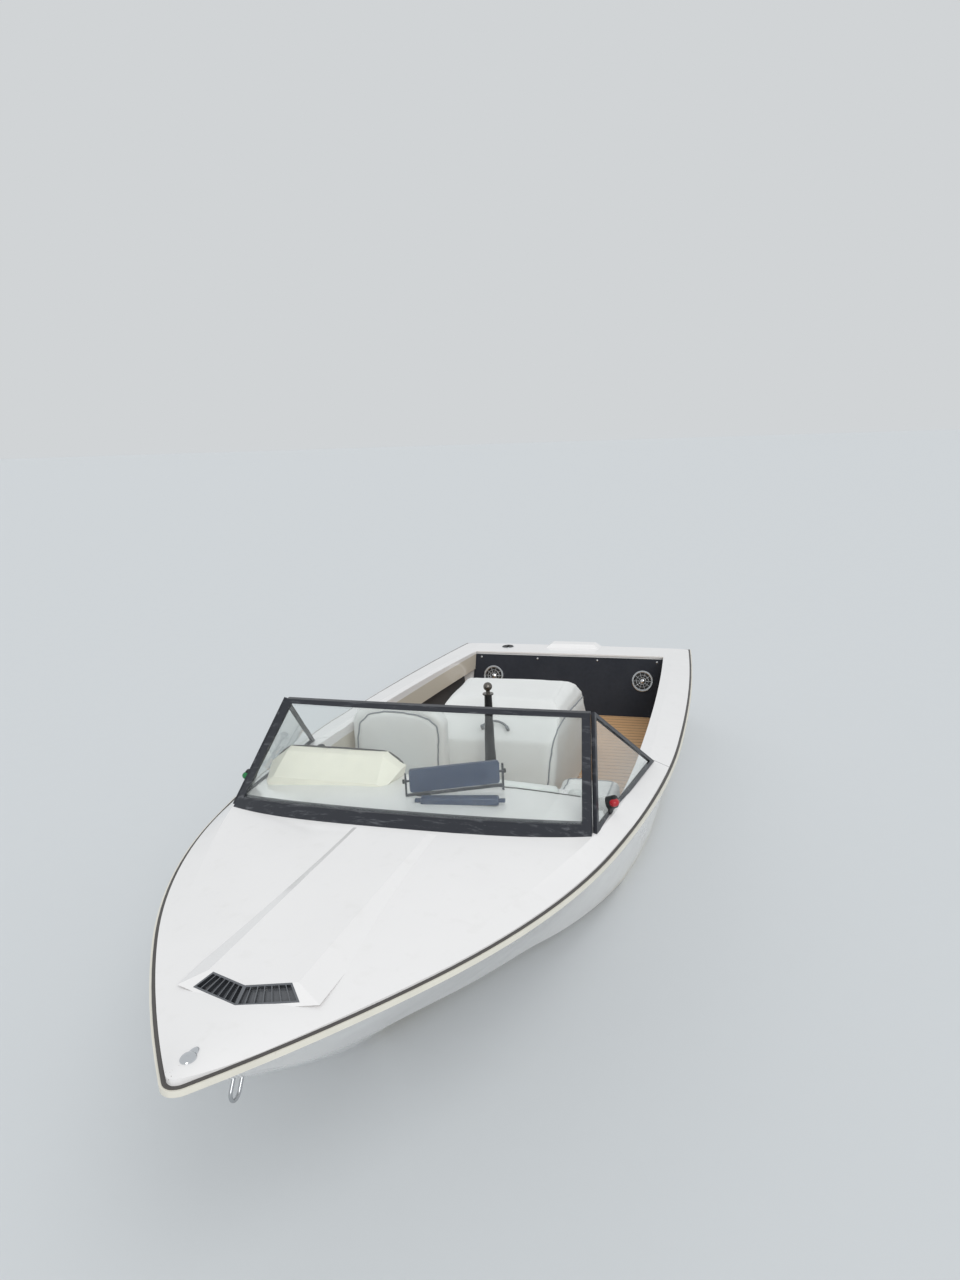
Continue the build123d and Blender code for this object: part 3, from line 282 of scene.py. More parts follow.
@dataclass(frozen=True)
class Gelcoat(Finish):
    """Polyester gelcoat out of a polished mould: near-white, glossy, faintly wavy, stained at its foot.

    Chips show rust-brown filler near one point, as at the bow tip.
    """

    grime: str = "#B8B5AA"
    streak_mm: float = 60.0
    stain: str = "#B9AE8A"
    stain_top: float = 0.0
    stain_edge: float = 0.07
    stain_waves: float = 0.06
    chip_at: tuple[float, float, float] = (0.0, 0.0, -50.0)
    chip_reach: float = 0.5
    chip_mm: float = 14.0
    filler: str = "#6E4A34"
    seam_x: float = -50.0
    seam_half: float = 0.0022
    seam_slant: float = 0.35
    seam_offset: float = -0.33
    seam_from_y: float = 0.86
    seam_dark: str = "#3A3A38"
    # depth below the sheer from which faces get the painted shade in beige
    return_drop: float = 50.0
    lining: str = "#CDC6B8"

    def tint(self, tree: Tree, place: Socket) -> Socket:
        """White with rain streaks, a waterline stain and chips.

        Args:
            tree: Node tree of the material.
            place: Coordinates of the surface in metres.

        Returns:
            The colour at every point.
        """
        base = super().tint(tree, place)
        runs = clouds(tree, stretched(tree, place, (1.0, 1.0, 0.12)), self.streak_mm, 3.0)
        dirty = blend(tree, mapped(tree, runs, (0.58, 0.9), (0.0, 0.12)), base, linear(self.grime))
        wavy = calc(tree, "MULTIPLY_ADD", runs, self.stain_waves, along_axis(tree, place, "Z"))
        line = mapped(tree, wavy, (self.stain_top, self.stain_top + self.stain_edge), (0.55, 0.0))
        stained = blend(tree, line, dirty, linear(self.stain))
        away = add_node(tree, "VectorMath", {0: place, 1: self.chip_at}, operation="DISTANCE")
        near = mapped(tree, away.outputs["Value"], (0.0, self.chip_reach), (0.16, 0.0))
        lifted = calc(tree, "ADD", clouds(tree, place, self.chip_mm, 5.0, 0.7), near)
        chipped = blend(tree, mapped(tree, lifted, (0.76, 0.78)), stained, linear(self.filler))
        return self.jointed(tree, place, chipped)

    def jointed(self, tree: Tree, place: Socket, base: Socket) -> Socket:
        """Draws the dark joint across the gunwales, and a painted shade in beige on the coaming's inner
        face below the sheer.

        Args:
            tree: Node tree of the material.
            place: Coordinates of the surface in metres.
            base: Colour that they are drawn over.

        Returns:
            The colour at every point.
        """
        axes = add_node(tree, "SeparateXYZ", {"Vector": place}).outputs
        across = calc(tree, "ABSOLUTE", axes["Y"])
        bend = calc(tree, "MULTIPLY_ADD", across, self.seam_slant, self.seam_offset)
        ahead = calc(tree, "SUBTRACT", axes["X"], bend)
        line = calc(tree, "COMPARE", ahead, self.seam_x, self.seam_half)
        gunwale = calc(tree, "GREATER_THAN", across, self.seam_from_y)
        seamed = blend(tree, calc(tree, "MULTIPLY", line, gunwale), base, linear(self.seam_dark))
        # painted shade: faces more than return_drop below the sheer turn beige
        sheer = calc(tree, "MULTIPLY_ADD", axes["X"], SHEER_RISE, SHEER_STERN)
        under = calc(tree, "SUBTRACT", sheer, axes["Z"])
        inner = calc(tree, "GREATER_THAN", under, self.return_drop)
        return blend(tree, inner, seamed, linear(self.lining))


@dataclass(frozen=True)
class DeckFoam(Finish):
    """Brushed EVA foam decking in teak brown: planks run athwartships between dark routed lines."""

    pale: str = "#DDB488"
    caulk: str = "#1D1A18"
    fibre_mm: float = 6.0
    plank: float = 0.060
    line: float = 0.005

    def tint(self, tree: Tree, place: Socket) -> Socket:
        """Brown planks with a brushed grain along them, and black caulk lines.

        Args:
            tree: Node tree of the material.
            place: Coordinates of the surface in metres.

        Returns:
            The colour at every point.
        """
        fibres = clouds(tree, stretched(tree, place, (1.0, 0.06, 1.0)), self.fibre_mm, 6.0)
        wood = blend(tree, fibres, linear(self.colour), linear(self.pale))
        wrapped = calc(tree, "WRAP", along_axis(tree, place, "X"), self.plank, 0.0)
        return blend(tree, calc(tree, "LESS_THAN", wrapped, self.line), wood, linear(self.caulk))


@dataclass(frozen=True)
class Pane(Finish):
    """Clear tempered glass or a coloured polycarbonate lens."""

    ior: float = 1.45
    clear: float = 1.0
    shadow_through: float = 0.0
    open_tint: str = "#F4F8F7"
    dust: float = 0.0
    dust_colour: str = "#D7DCDC"
    dust_mm: float = 60.0
    dust_span: tuple[float, float] = (0.76, 0.92)
    foot_dust: float = 2.2

    def special(self, tree: Tree, shader: bpy.types.Node, place: Socket) -> None:
        """Lets light through, with a film of dust, and thins out the shadow that the glass casts.

        Args:
            tree: Node tree of the material.
            shader: The material's main shader.
            place: Coordinates of the surface in metres.
        """
        shader.inputs["IOR"].default_value = self.ior
        shader.inputs["Transmission Weight"].default_value = self.clear
        surface = shader.outputs["BSDF"]
        if self.dust:
            film = (self.dust * self.foot_dust, self.dust)
            height = mapped(tree, along_axis(tree, place, "Z"), self.dust_span, film)
            patchy = calc(tree, "MULTIPLY", height, clouds(tree, place, self.dust_mm, 7.0))
            surface = self.covered(tree, patchy, surface, "BsdfDiffuse", self.dust_colour)
        if self.shadow_through:
            shadow = add_node(tree, "LightPath").outputs["Is Shadow Ray"]
            lit = calc(tree, "MULTIPLY", shadow, self.shadow_through)
            surface = self.covered(tree, lit, surface, "BsdfTransparent", self.open_tint)
        tree.links.new(surface, tree.nodes["Material Output"].inputs["Surface"])

    @staticmethod
    def covered(tree: Tree, share: Socket, surface: Socket, kind: str, colour: str) -> Socket:
        """Mixes a plain shader over a surface by its share."""
        over = add_node(tree, kind, {"Color": linear(colour)}).outputs["BSDF"]
        return add_node(tree, "MixShader", {"Fac": share, 1: surface, 2: over}).outputs["Shader"]


@dataclass(frozen=True)
class LouvreNylon(Finish):
    """Charcoal nylon, with a painted highlight in light grey on the faces that look up."""

    painted_highlight: str = "#8C8F94"
    level: tuple[float, float] = (0.86, 0.97)

    def tint(self, tree: Tree, place: Socket) -> Socket:
        """Dark in the slots, with a painted highlight on the edges of the vanes that face up.

        Args:
            tree: Node tree of the material.
            place: Coordinates of the surface in metres.

        Returns:
            The colour at every point.
        """
        base = super().tint(tree, place)
        # painted highlight: faces whose normal points up turn light grey, for the light that they catch
        facing = add_node(tree, "TexCoord").outputs["Normal"]
        share = mapped(tree, along_axis(tree, facing, "Z"), self.level)
        return blend(tree, share, base, linear(self.painted_highlight))


@dataclass(frozen=True)
class TippedPaint(Finish):
    """Powder coat that ends at a height, with the bare polished steel of the ball above it."""

    bare_from: float = 0.896
    bare_metal: str = "#77726C"

    def special(self, tree: Tree, shader: bpy.types.Node, place: Socket) -> None:
        """Turns the tip into bare metal.

        Args:
            tree: Node tree of the material.
            shader: The material's main shader.
            place: Coordinates of the surface in metres.
        """
        bare = calc(tree, "GREATER_THAN", along_axis(tree, place, "Z"), self.bare_from)
        paint = shader.inputs["Base Color"].links[0].from_socket
        tint = blend(tree, bare, paint, linear(self.bare_metal))
        tree.links.new(tint, shader.inputs["Base Color"])
        tree.links.new(bare, shader.inputs["Metallic"])


# Moulded polyester gelcoat: a wet gloss over white
HULL_GELCOAT = Gelcoat(
    "moulded gelcoat hull", "#E8E7E6", 0.16, coat=0.5, grain=Grain.SPRAYED, grain_mm=420, relief_mm=0.10,
    mottle=0.02, mottle_mm=400, stain_top=0.03,
)
# faces of the deck finish more than 12 mm below the sheer, as on the coaming's inner face, carry a
# painted shade in beige
DECK_GELCOAT = Gelcoat(
    "moulded gelcoat deck", "#EAE8E7", 0.2, coat=0.4, grain=Grain.SPRAYED, grain_mm=420, relief_mm=0.15,
    mottle=0.02, mottle_mm=300, stain_top=-1.0, chip_at=(5.655, 0.0, 0.757), chip_reach=0.16,
    seam_x=2.86, return_drop=0.012,
)
# Extruded PVC rail: satin cream with scuffs, and its dark insert
RAIL_VINYL = Finish(
    "extruded PVC rail", "#DEDACE", 0.4, grain=Grain.SPRAYED, grain_mm=3, mottle=0.08,
    wear=0.4, wear_and_highlight_colour="#7D776A",
)
INSERT_RUBBER = Finish(
    "extruded rubber insert", "#4B4846", 0.5, grain=Grain.SPRAYED, grain_mm=2, wear=0.3
)
# Upholstery vinyl: pressed leather grain, satin
SEAT_VINYL = Finish(
    "upholstery vinyl white", "#DFE0DE", 0.46, grain=Grain.LEATHER, grain_mm=2.5, relief_mm=0.12,
    mottle=0.035, mottle_mm=140,
)
POD_VINYL = Finish(
    "upholstery vinyl cream", "#F2EDDF", 0.5, grain=Grain.LEATHER, grain_mm=2.5, relief_mm=0.12,
    mottle=0.03,
)
PIPING_VINYL = Finish("welt cord vinyl grey", "#84888C", 0.5, grain=Grain.LEATHER, grain_mm=2)
# Marine carpet: short tufts that swallow light
BLACK_CARPET = Finish(
    "tufted carpet charcoal", "#1D212A", 0.95, sheen=0.25, grain=Grain.TUFTED, grain_mm=4, relief_mm=1.2,
    mottle=0.3, mottle_mm=25,
)
LINING_CARPET = Finish(
    "tufted carpet grey", "#26272A", 0.95, sheen=0.2, grain=Grain.TUFTED, grain_mm=4, relief_mm=1.0,
    mottle=0.25, mottle_mm=25,
)
TEAK_FOAM = DeckFoam(
    "brushed EVA decking", "#BC9062", 0.75, grain=Grain.TUFTED, grain_mm=3, relief_mm=0.3
)
# Metals: anodised and painted aluminium, chrome plate, stainless bar, sand-cast bronze, painted iron
# lighter streaks along the rails: partly wear, partly a painted highlight
BLACK_ALLOY = Finish(
    "black anodised aluminium", "#303238", 0.34, metallic=0.35, grain=Grain.BRUSHED, grain_mm=2,
    relief_mm=0.05, wear=0.42, wear_and_highlight_colour="#8A8C90", wear_mm=26, wear_run=(1.0, 0.16, 1.0), wear_from=0.54,
)
BLACK_PAINT = TippedPaint(
    "powder coated steel", "#131416", 0.34, coat=0.2, grain=Grain.SPRAYED, grain_mm=3,
    relief_mm=0.08, wear=0.2,
)
CHROME = Finish("polished chrome plate", "#DADCDF", 0.07, metallic=1.0, mottle=0.03)
STEEL = Finish(
    "brushed stainless steel", "#B9BBBD", 0.26, metallic=1.0, grain=Grain.BRUSHED, grain_mm=2,
    relief_mm=0.04,
)
BRONZE = Finish(
    "sand cast bronze", "#8A6A3C", 0.34, metallic=1.0, grain=Grain.CAST, grain_mm=4, relief_mm=0.15,
    mottle=0.2, mottle_mm=50,
)
IRON = Finish("painted cast iron", "#202326", 0.45, grain=Grain.CAST, grain_mm=6, relief_mm=0.3)
# Plastics: glass-filled nylon, ABS
# the vent's upward faces carry a painted highlight in light grey
VENT_PLASTIC = LouvreNylon(
    "moulded charcoal nylon", "#34363A", 0.15, coat=0.7, grain=Grain.SPRAYED, grain_mm=2, relief_mm=0.05
)
BLACK_PLASTIC = Finish(
    "moulded black nylon", "#17181A", 0.48, grain=Grain.SPRAYED, grain_mm=2, relief_mm=0.06
)
GREY_PLASTIC = Finish(
    "moulded grey ABS", "#75797C", 0.42, grain=Grain.SPRAYED, grain_mm=2, relief_mm=0.06
)
DIAL_WHITE = Finish("printed dial white", "#E8E8E2", 0.5)
NEEDLE_RED = Finish("needle paint red", "#B3261C", 0.4)
MIRROR_BACK = Finish(
    "moulded blue grey ABS", "#34425C", 0.36, grain=Grain.SPRAYED, grain_mm=2, relief_mm=0.05
)
MIRROR_FACE = Finish("silvered glass", "#E4E7EA", 0.03, metallic=1.0, mottle=0.01)
# Tempered glass with a green edge tint, and the coloured lenses
SCREEN_GLASS = Pane("tempered glass", "#F8FBFA", 0.02, dust=0.035, mottle=0.0, shadow_through=0.9)
GAUGE_GLASS = Pane("gauge glass", "#FFFFFF", 0.02, mottle=0.0)
RED_LENS = Pane("red polycarbonate", "#C81E2C", 0.08, ior=1.58, mottle=0.02, clear=0.3)
GREEN_LENS = Pane("green polycarbonate", "#1E8A4A", 0.08, ior=1.58, mottle=0.02, clear=0.3)

NODE_FINISHES: dict[Finish, tuple[str, ...]] = {
    HULL_GELCOAT: ("hull",),
    DECK_GELCOAT: ("deck", "driver_seat_base", "observer_seat_base"),
    RAIL_VINYL: ("rub_rail",),
    INSERT_RUBBER: ("rail_insert", "dash_trim"),
    TEAK_FOAM: ("cockpit_floor",),
    BLACK_CARPET: ("rear_panel",),
    LINING_CARPET: ("side_linings",),
    BLACK_PLASTIC: (
        "speaker_cones", "nav_light_port", "nav_light_starboard", "dash_panel", "steering_wheel",
        "throttle_control", "fuel_filler_cap",
    ),
    GREY_PLASTIC: ("cover_handle",),
    VENT_PLASTIC: ("bow_vent",),
    MIRROR_BACK: ("mirror",),
    BLACK_ALLOY: ("windscreen_frame", "wing_frames", "mirror_bracket"),
    BLACK_PAINT: ("tow_pylon",),
    CHROME: ("speaker_grilles", "bow_fitting"),
    STEEL: ("bow_eye", "stern_eyes", "exhaust_outlets", "cover_hinges", "propeller_shaft"),
    BRONZE: ("shaft_log", "shaft_strut", "rudder_gland", "tracking_fins", "propeller", "rudder"),
    IRON: ("engine_block",),
    SCREEN_GLASS: ("windscreen_glass", "wing_glass"),
    POD_VINYL: ("instrument_pod",),
    SEAT_VINYL: (
        "driver_seat_cushion", "driver_seat_back", "observer_seat_cushion", "engine_cover",
    ),
}


def linked(name: str, data: bpy.types.ID) -> Piece:
    """Puts an object with its data into the scene.

    Args:
        name: Name of the object.
        data: Its mesh, curve, lamp or camera.

    Returns:
        The new object.
    """
    piece = bpy.data.objects.new(name, data)
    bpy.context.scene.collection.objects.link(piece)
    return piece


def meshed(name: str, mesh: bmesh.types.BMesh) -> Piece:
    """Turns a grown mesh into an object in the scene, with its faces turned outwards.

    Args:
        name: Name of the object and of its mesh.
        mesh: The grown mesh, which is freed.

    Returns:
        The new object, not dressed yet.
    """
    bmesh.ops.recalc_face_normals(mesh, faces=mesh.faces)
    data = bpy.data.meshes.new(name)
    mesh.to_mesh(data)
    mesh.free()
    return linked(name, data)


def stood(foot: tuple | Vector, axis: tuple | Vector) -> Matrix:
    """Frame whose origin is a point and whose own Z runs along an axis."""
    return Matrix.Translation(foot) @ Vector(axis).to_track_quat("Z", "Y").to_matrix().to_4x4()


class Shape:
    """One new piece: its mesh grows from bmesh operators, then it is dressed and rides on a body."""

    def __init__(self, name: str) -> None:
        """Starts an empty mesh under the piece's name."""
        self.name = name
        self.mesh = bmesh.new()

    def place(self, before: set, matrix: Matrix | None) -> None:
        """Moves what was added since a moment, in the piece's own frame, to its place.

        Args:
            before: Vertices that were there at that moment.
            matrix: The move, or None to leave them.
        """
        if matrix is not None:
            fresh = [vertex for vertex in self.mesh.verts if vertex not in before]
            bmesh.ops.transform(self.mesh, matrix=matrix, verts=fresh)

    def round_edges(self, edges: list, radius: float, segments: int = 3) -> None:
        """Rounds edges by a radius."""
        bmesh.ops.bevel(
            self.mesh, geom=edges, offset=radius, offset_type="OFFSET", segments=segments, profile=0.5,
            affect="EDGES", material=-1, clamp_overlap=True,
        )

    def spin(self, section: list, steps: int) -> None:
        """Turns a section all the way round the upright axis."""
        bmesh.ops.spin(
            self.mesh, geom=section, cent=(0, 0, 0), axis=(0, 0, 1), angle=math.tau, steps=steps,
            use_merge=True,
        )

    def box(
        self, centre: tuple, size: tuple, radius: float = 0.0, matrix: Matrix | None = None,
        segments: int = 3,
    ) -> None:
        """Adds a block with rounded edges.

        Args:
            centre: Middle of the block.
            size: Its three lengths.
            radius: Radius of its edges.
            matrix: Frame that the block is given in.
            segments: Steps in each rounding.
        """
        before = set(self.mesh.verts)
        made = bmesh.ops.create_cube(self.mesh, size=1.0)["verts"]
        scale = Matrix.Translation(centre) @ Matrix.Diagonal((*size, 1.0))
        bmesh.ops.transform(self.mesh, matrix=scale, verts=made)
        if radius:
            edges = {edge for vertex in made for edge in vertex.link_edges}
            self.round_edges(list(edges), radius, segments)
        self.place(before, matrix)

    def rod(
        self, start: tuple, end: tuple, radius: float, end_radius: float | None = None, sides: int = 24,
        edge: float = 0.0, matrix: Matrix | None = None,
    ) -> None:
        """Adds a round bar or cone between two points.

        Args:
            start: Centre of the first end.
            end: Centre of the other end.
            radius: Radius at the start.
            end_radius: Radius at the end, the same if left out.
            sides: Faces round the bar.
            edge: Radius of the rims.
            matrix: Frame that the points are given in.
        """
        before = set(self.mesh.verts)
        run = Vector(end) - Vector(start)
        bmesh.ops.create_cone(
            self.mesh, cap_ends=True, cap_tris=False, segments=sides, radius1=radius,
            radius2=radius if end_radius is None else end_radius, depth=run.length,
            matrix=stood((Vector(start) + Vector(end)) / 2, run),
        )
        if edge:
            rims = [
                e for e in self.mesh.edges
                if e.verts[0] not in before and any(len(f.verts) == sides for f in e.link_faces)
            ]
            self.round_edges(rims, edge, 2)
        self.place(before, matrix)

    def ring(
        self, centre: tuple, normal: tuple, radius: float, bar: float, sides: int = 48, flat: float = 1.0
    ) -> None:
        """Adds a closed ring of round or flattened bar.

        Args:
            centre: Centre of the ring.
            normal: Axis of the ring.
            radius: Radius to the middle of the bar.
            bar: Radius of the bar.
            sides: Steps round the ring.
            flat: Bar's height along the axis over its width.
        """
        before = set(self.mesh.verts)
        upright = Matrix.Translation((radius, 0, 0)) @ Matrix.Rotation(math.pi / 2, 4, "X")
        made = bmesh.ops.create_circle(self.mesh, cap_ends=False, segments=12, radius=bar, matrix=upright)
        self.spin(made["verts"] + list({e for v in made["verts"] for e in v.link_edges}), sides)
        self.place(before, stood(centre, normal) @ Matrix.Diagonal((1, 1, flat, 1)))

    def turned(self, profile: tuple | list, centre: tuple, axis: tuple, steps: int = 40) -> None:
        """Adds a turned form from radius and height pairs, as on a lathe.

        Args:
            profile: Radius and height pairs from one end to the other.
            centre: Foot of the axis.
            axis: Direction of the heights.
            steps: Steps round the form.
        """
        before = set(self.mesh.verts)
        chain = [self.mesh.verts.new((radius, 0, height)) for radius, height in profile]
        links = [self.mesh.edges.new(pair) for pair in zip(chain, chain[1:])]
        self.spin(chain + links, steps)
        fresh = [vertex for vertex in self.mesh.verts if vertex not in before]
        bmesh.ops.remove_doubles(self.mesh, verts=fresh, dist=1e-5)
        self.place(before, stood(centre, axis))

    def ball(self, centre: tuple, radii: tuple, sides: int = 24) -> None:
        """Adds a ball or ellipsoid."""
        shape = Matrix.Translation(centre) @ Matrix.Diagonal((*radii, 1.0))
        bmesh.ops.create_uvsphere(
            self.mesh, u_segments=sides, v_segments=sides // 2, radius=1.0, matrix=shape
        )

    def edges_beyond(self, level: float, axis: int = 2) -> list:
        """Edges that lie wholly beyond a level of one axis."""
        return [edge for edge in self.mesh.edges if all(vert.co[axis] > level for vert in edge.verts)]

    def edges_along(self, axis: int, least: float) -> list:
        """Edges that reach further than a length along one axis."""
        return [
            edge for edge in self.mesh.edges
            if abs(edge.verts[0].co[axis] - edge.verts[1].co[axis]) > least
        ]

    def done(self, finish: Finish, slot: str, body: str = ROOT, crease: float = 35.0) -> Piece:
        """Turns the mesh into a dressed piece that rides on a body.

        Args:
            finish: Finish of the whole piece.
            slot: Not used.
            body: CAD body that it rides on.
            crease: Angle in degrees over which an edge stays sharp.

        Returns:
            The finished object.
        """
        return dress(meshed(self.name, self.mesh), finish, body, crease)


def dress(piece: Piece, finish: Finish, body: str = ROOT, crease: float = 35.0) -> Piece:
    """Gives a piece its material, smooth shading and body, and logs it.

    Args:
        piece: Piece to dress.
        finish: Finish of the whole piece.
        body: CAD body that it rides on.
        crease: Angle in degrees over which an edge stays sharp.

    Returns:
        The same piece.
    """
    piece.data.materials.clear()
    piece.data.materials.append(finish.build())
    piece.data.shade_smooth()
    piece.data.set_sharp_from_angle(angle=math.radians(crease))
    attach(piece, body)
    LOG.info("%s rides on %s", piece.name, body)
    return piece


def cord_mesh(name: str, points: list, radius: float, closed: bool = False) -> Piece:
    """Makes a thin round cord along points as a mesh.

    Args:
        name: Name of the piece.
        points: Control points of its smooth line.
        radius: Radius of the cord.
        closed: Whether the line joins its own start.

    Returns:
        The undressed object.
    """
    curve = bpy.data.curves.new(name, "CURVE")
    curve.dimensions = "3D"
    curve.bevel_depth = radius
    curve.bevel_resolution = 2
    curve.use_fill_caps = True
    spline = curve.splines.new("NURBS")
    spline.points.add(len(points) - 1)
    for knot, point in zip(spline.points, points):
        knot.co = (*point, 1.0)
    spline.order_u = 3
    spline.resolution_u = 5
    spline.use_endpoint_u = not closed
    spline.use_cyclic_u = closed
    line = linked(name + "_line", curve)
    bpy.context.view_layer.update()
    data = bpy.data.meshes.new_from_object(line)
    bpy.data.objects.remove(line)
    bpy.data.curves.remove(curve)
    data.name = name
    return linked(name, data)


def surface_of(piece: Piece) -> BVHTree:
    """Search tree over a piece's mesh."""
    return BVHTree.FromPolygons(
        [vertex.co for vertex in piece.data.vertices],
        [tuple(face.vertices) for face in piece.data.polygons],
    )


def welt(
    name: str, points: list, on: Piece, radius: float = 0.004,
    body: str = ROOT, finish: Finish = PIPING_VINYL, closed: bool = False,
) -> Piece:
    """Sews a welt cord onto a surface, half sunk into it.

    Args:
        name: Name of the piece.
        points: Rough line of the cord, drawn onto the surface.
        on: Piece that carries it.
        radius: Radius of the cord.
        body: CAD body that it rides on.
        finish: Finish of the cord.
        closed: Whether the line joins its own start.

    Returns:
        The dressed cord.
    """
    tree = surface_of(on)
    dense = []
    pairs = list(zip(points, points[1:] + points[:1] if closed else points[1:]))
    for start, end in pairs:
        steps = max(int((Vector(end) - Vector(start)).length / 0.02), 1)
        dense += [Vector(start).lerp(Vector(end), step / steps) for step in range(steps)]
    if not closed:
        dense.append(Vector(points[-1]))
    seated = []
    for point in dense:
        spot, normal, _, _ = tree.find_nearest(point)
        seated.append(spot + normal * radius * 0.35)
    return dress(cord_mesh(name, seated, radius, closed), finish, body)


def voxel_skin(shape: Shape, size: float) -> Piece:
    """Turns a rough form into one even skin of small faces.

    Args:
        shape: The rough form.
        size: Edge of the small faces.

    Returns:
        An undressed object with the skin as its mesh.
    """
    piece = meshed(shape.name, shape.mesh)
    rough = piece.data
    remesh = piece.modifiers.new("Even skin", "REMESH")
    remesh.mode = "VOXEL"
    remesh.voxel_size = size
    remesh.use_smooth_shade = True
    view = bpy.context.evaluated_depsgraph_get()
    skin = bpy.data.meshes.new_from_object(piece.evaluated_get(view))
    piece.modifiers.clear()
    piece.data = skin
    bpy.data.meshes.remove(rough)
    skin.name = shape.name
    return piece


def stuff(piece: Piece, reach: float, pressure: float = 4.0, frames: int = 20) -> None:
    """Swells a closed skin like stuffed fabric by cloth simulation, up to a limit, and keeps the result.

    Args:
        piece: Closed skin in even faces.
        reach: Furthest that a point may move.
        pressure: Air pressure inside.
        frames: Steps of the simulation.
    """
    rest = [vertex.co.copy() for vertex in piece.data.vertices]
    cloth = piece.modifiers.new("Stuffing", "CLOTH")
    cloth.settings.use_pressure = True
    cloth.settings.uniform_pressure_force = pressure
    cloth.settings.effector_weights.gravity = 0.0
    cloth.point_cache.frame_start = 1
    cloth.point_cache.frame_end = frames
    scene = bpy.context.scene
    for step in range(1, frames + 1):
        scene.frame_set(step)
    swollen = piece.evaluated_get(bpy.context.evaluated_depsgraph_get()).data
    moved = [vertex.co.copy() for vertex in swollen.vertices]
    piece.modifiers.remove(cloth)
    scene.frame_set(1)
    for vertex, start, end in zip(piece.data.vertices, rest, moved):
        shift = end - start
        if shift.length > reach:
            shift *= reach / shift.length
        vertex.co = start + shift


def press_seam(piece: Piece, points: list, width: float, depth: float) -> None:
    """Draws a seam down into a skin along a line, so that the stuffing swells on both sides of it.

    Args:
        piece: Skin in even faces.
        points: Line of the seam.
        width: How far from the line the skin is drawn in.
        depth: How deep the seam lies.
    """
    segments = [(Vector(a), Vector(b)) for a, b in zip(points, points[1:])]
    normals = [vertex.normal.copy() for vertex in piece.data.vertices]
    for vertex, normal in zip(piece.data.vertices, normals):
        nearest = width
        for start, end in segments:
            run = end - start
            share = min(max((vertex.co - start).dot(run) / run.length_squared, 0.0), 1.0)
            nearest = min(nearest, (vertex.co - start - run * share).length)
        if nearest < width:
            vertex.co -= normal * depth * (1 - nearest / width) ** 2


def slacken(piece: Piece, amount: float, size: float, seed: float = 0.0) -> None:
    """Gives a skin the faint uneven slack of stretched vinyl.

    Args:
        piece: Skin in even faces.
        amount: Furthest that a point moves.
        size: Length of one wave of the slack.
        seed: Shift that makes one skin's slack unlike another's.
    """
    normals = [vertex.normal.copy() for vertex in piece.data.vertices]
    for vertex, normal in zip(piece.data.vertices, normals):
        vertex.co += normal * amount * noise(vertex.co / size + Vector((seed, 0, 0)))


def drop_on(tree: BVHTree, x: float, y: float) -> tuple[Vector, Vector]:
    """Finds where a plumb line meets a surface.

    Args:
        tree: Search tree of the surface.
        x: Place along the boat.
        y: Place across the boat.

    Returns:
        The point and the surface's normal there.
    """
    spot, normal, _, _ = tree.ray_cast(Vector((x, y, 3.0)), Vector((0, 0, -1)))
    return spot, normal if normal.z > 0 else -normal


def smooth_skin(piece: Piece, rounds: int) -> None:
    """Evens out the steps that a voxel skin leaves.

    Args:
        piece: Skin in even faces.
        rounds: How often each point moves towards its neighbours.
    """
    mesh = bmesh.new()
    mesh.from_mesh(piece.data)
    for _ in range(rounds):
        bmesh.ops.smooth_vert(
            mesh, verts=mesh.verts, factor=0.5, use_axis_x=True, use_axis_y=True, use_axis_z=True
        )
    mesh.to_mesh(piece.data)
    mesh.free()


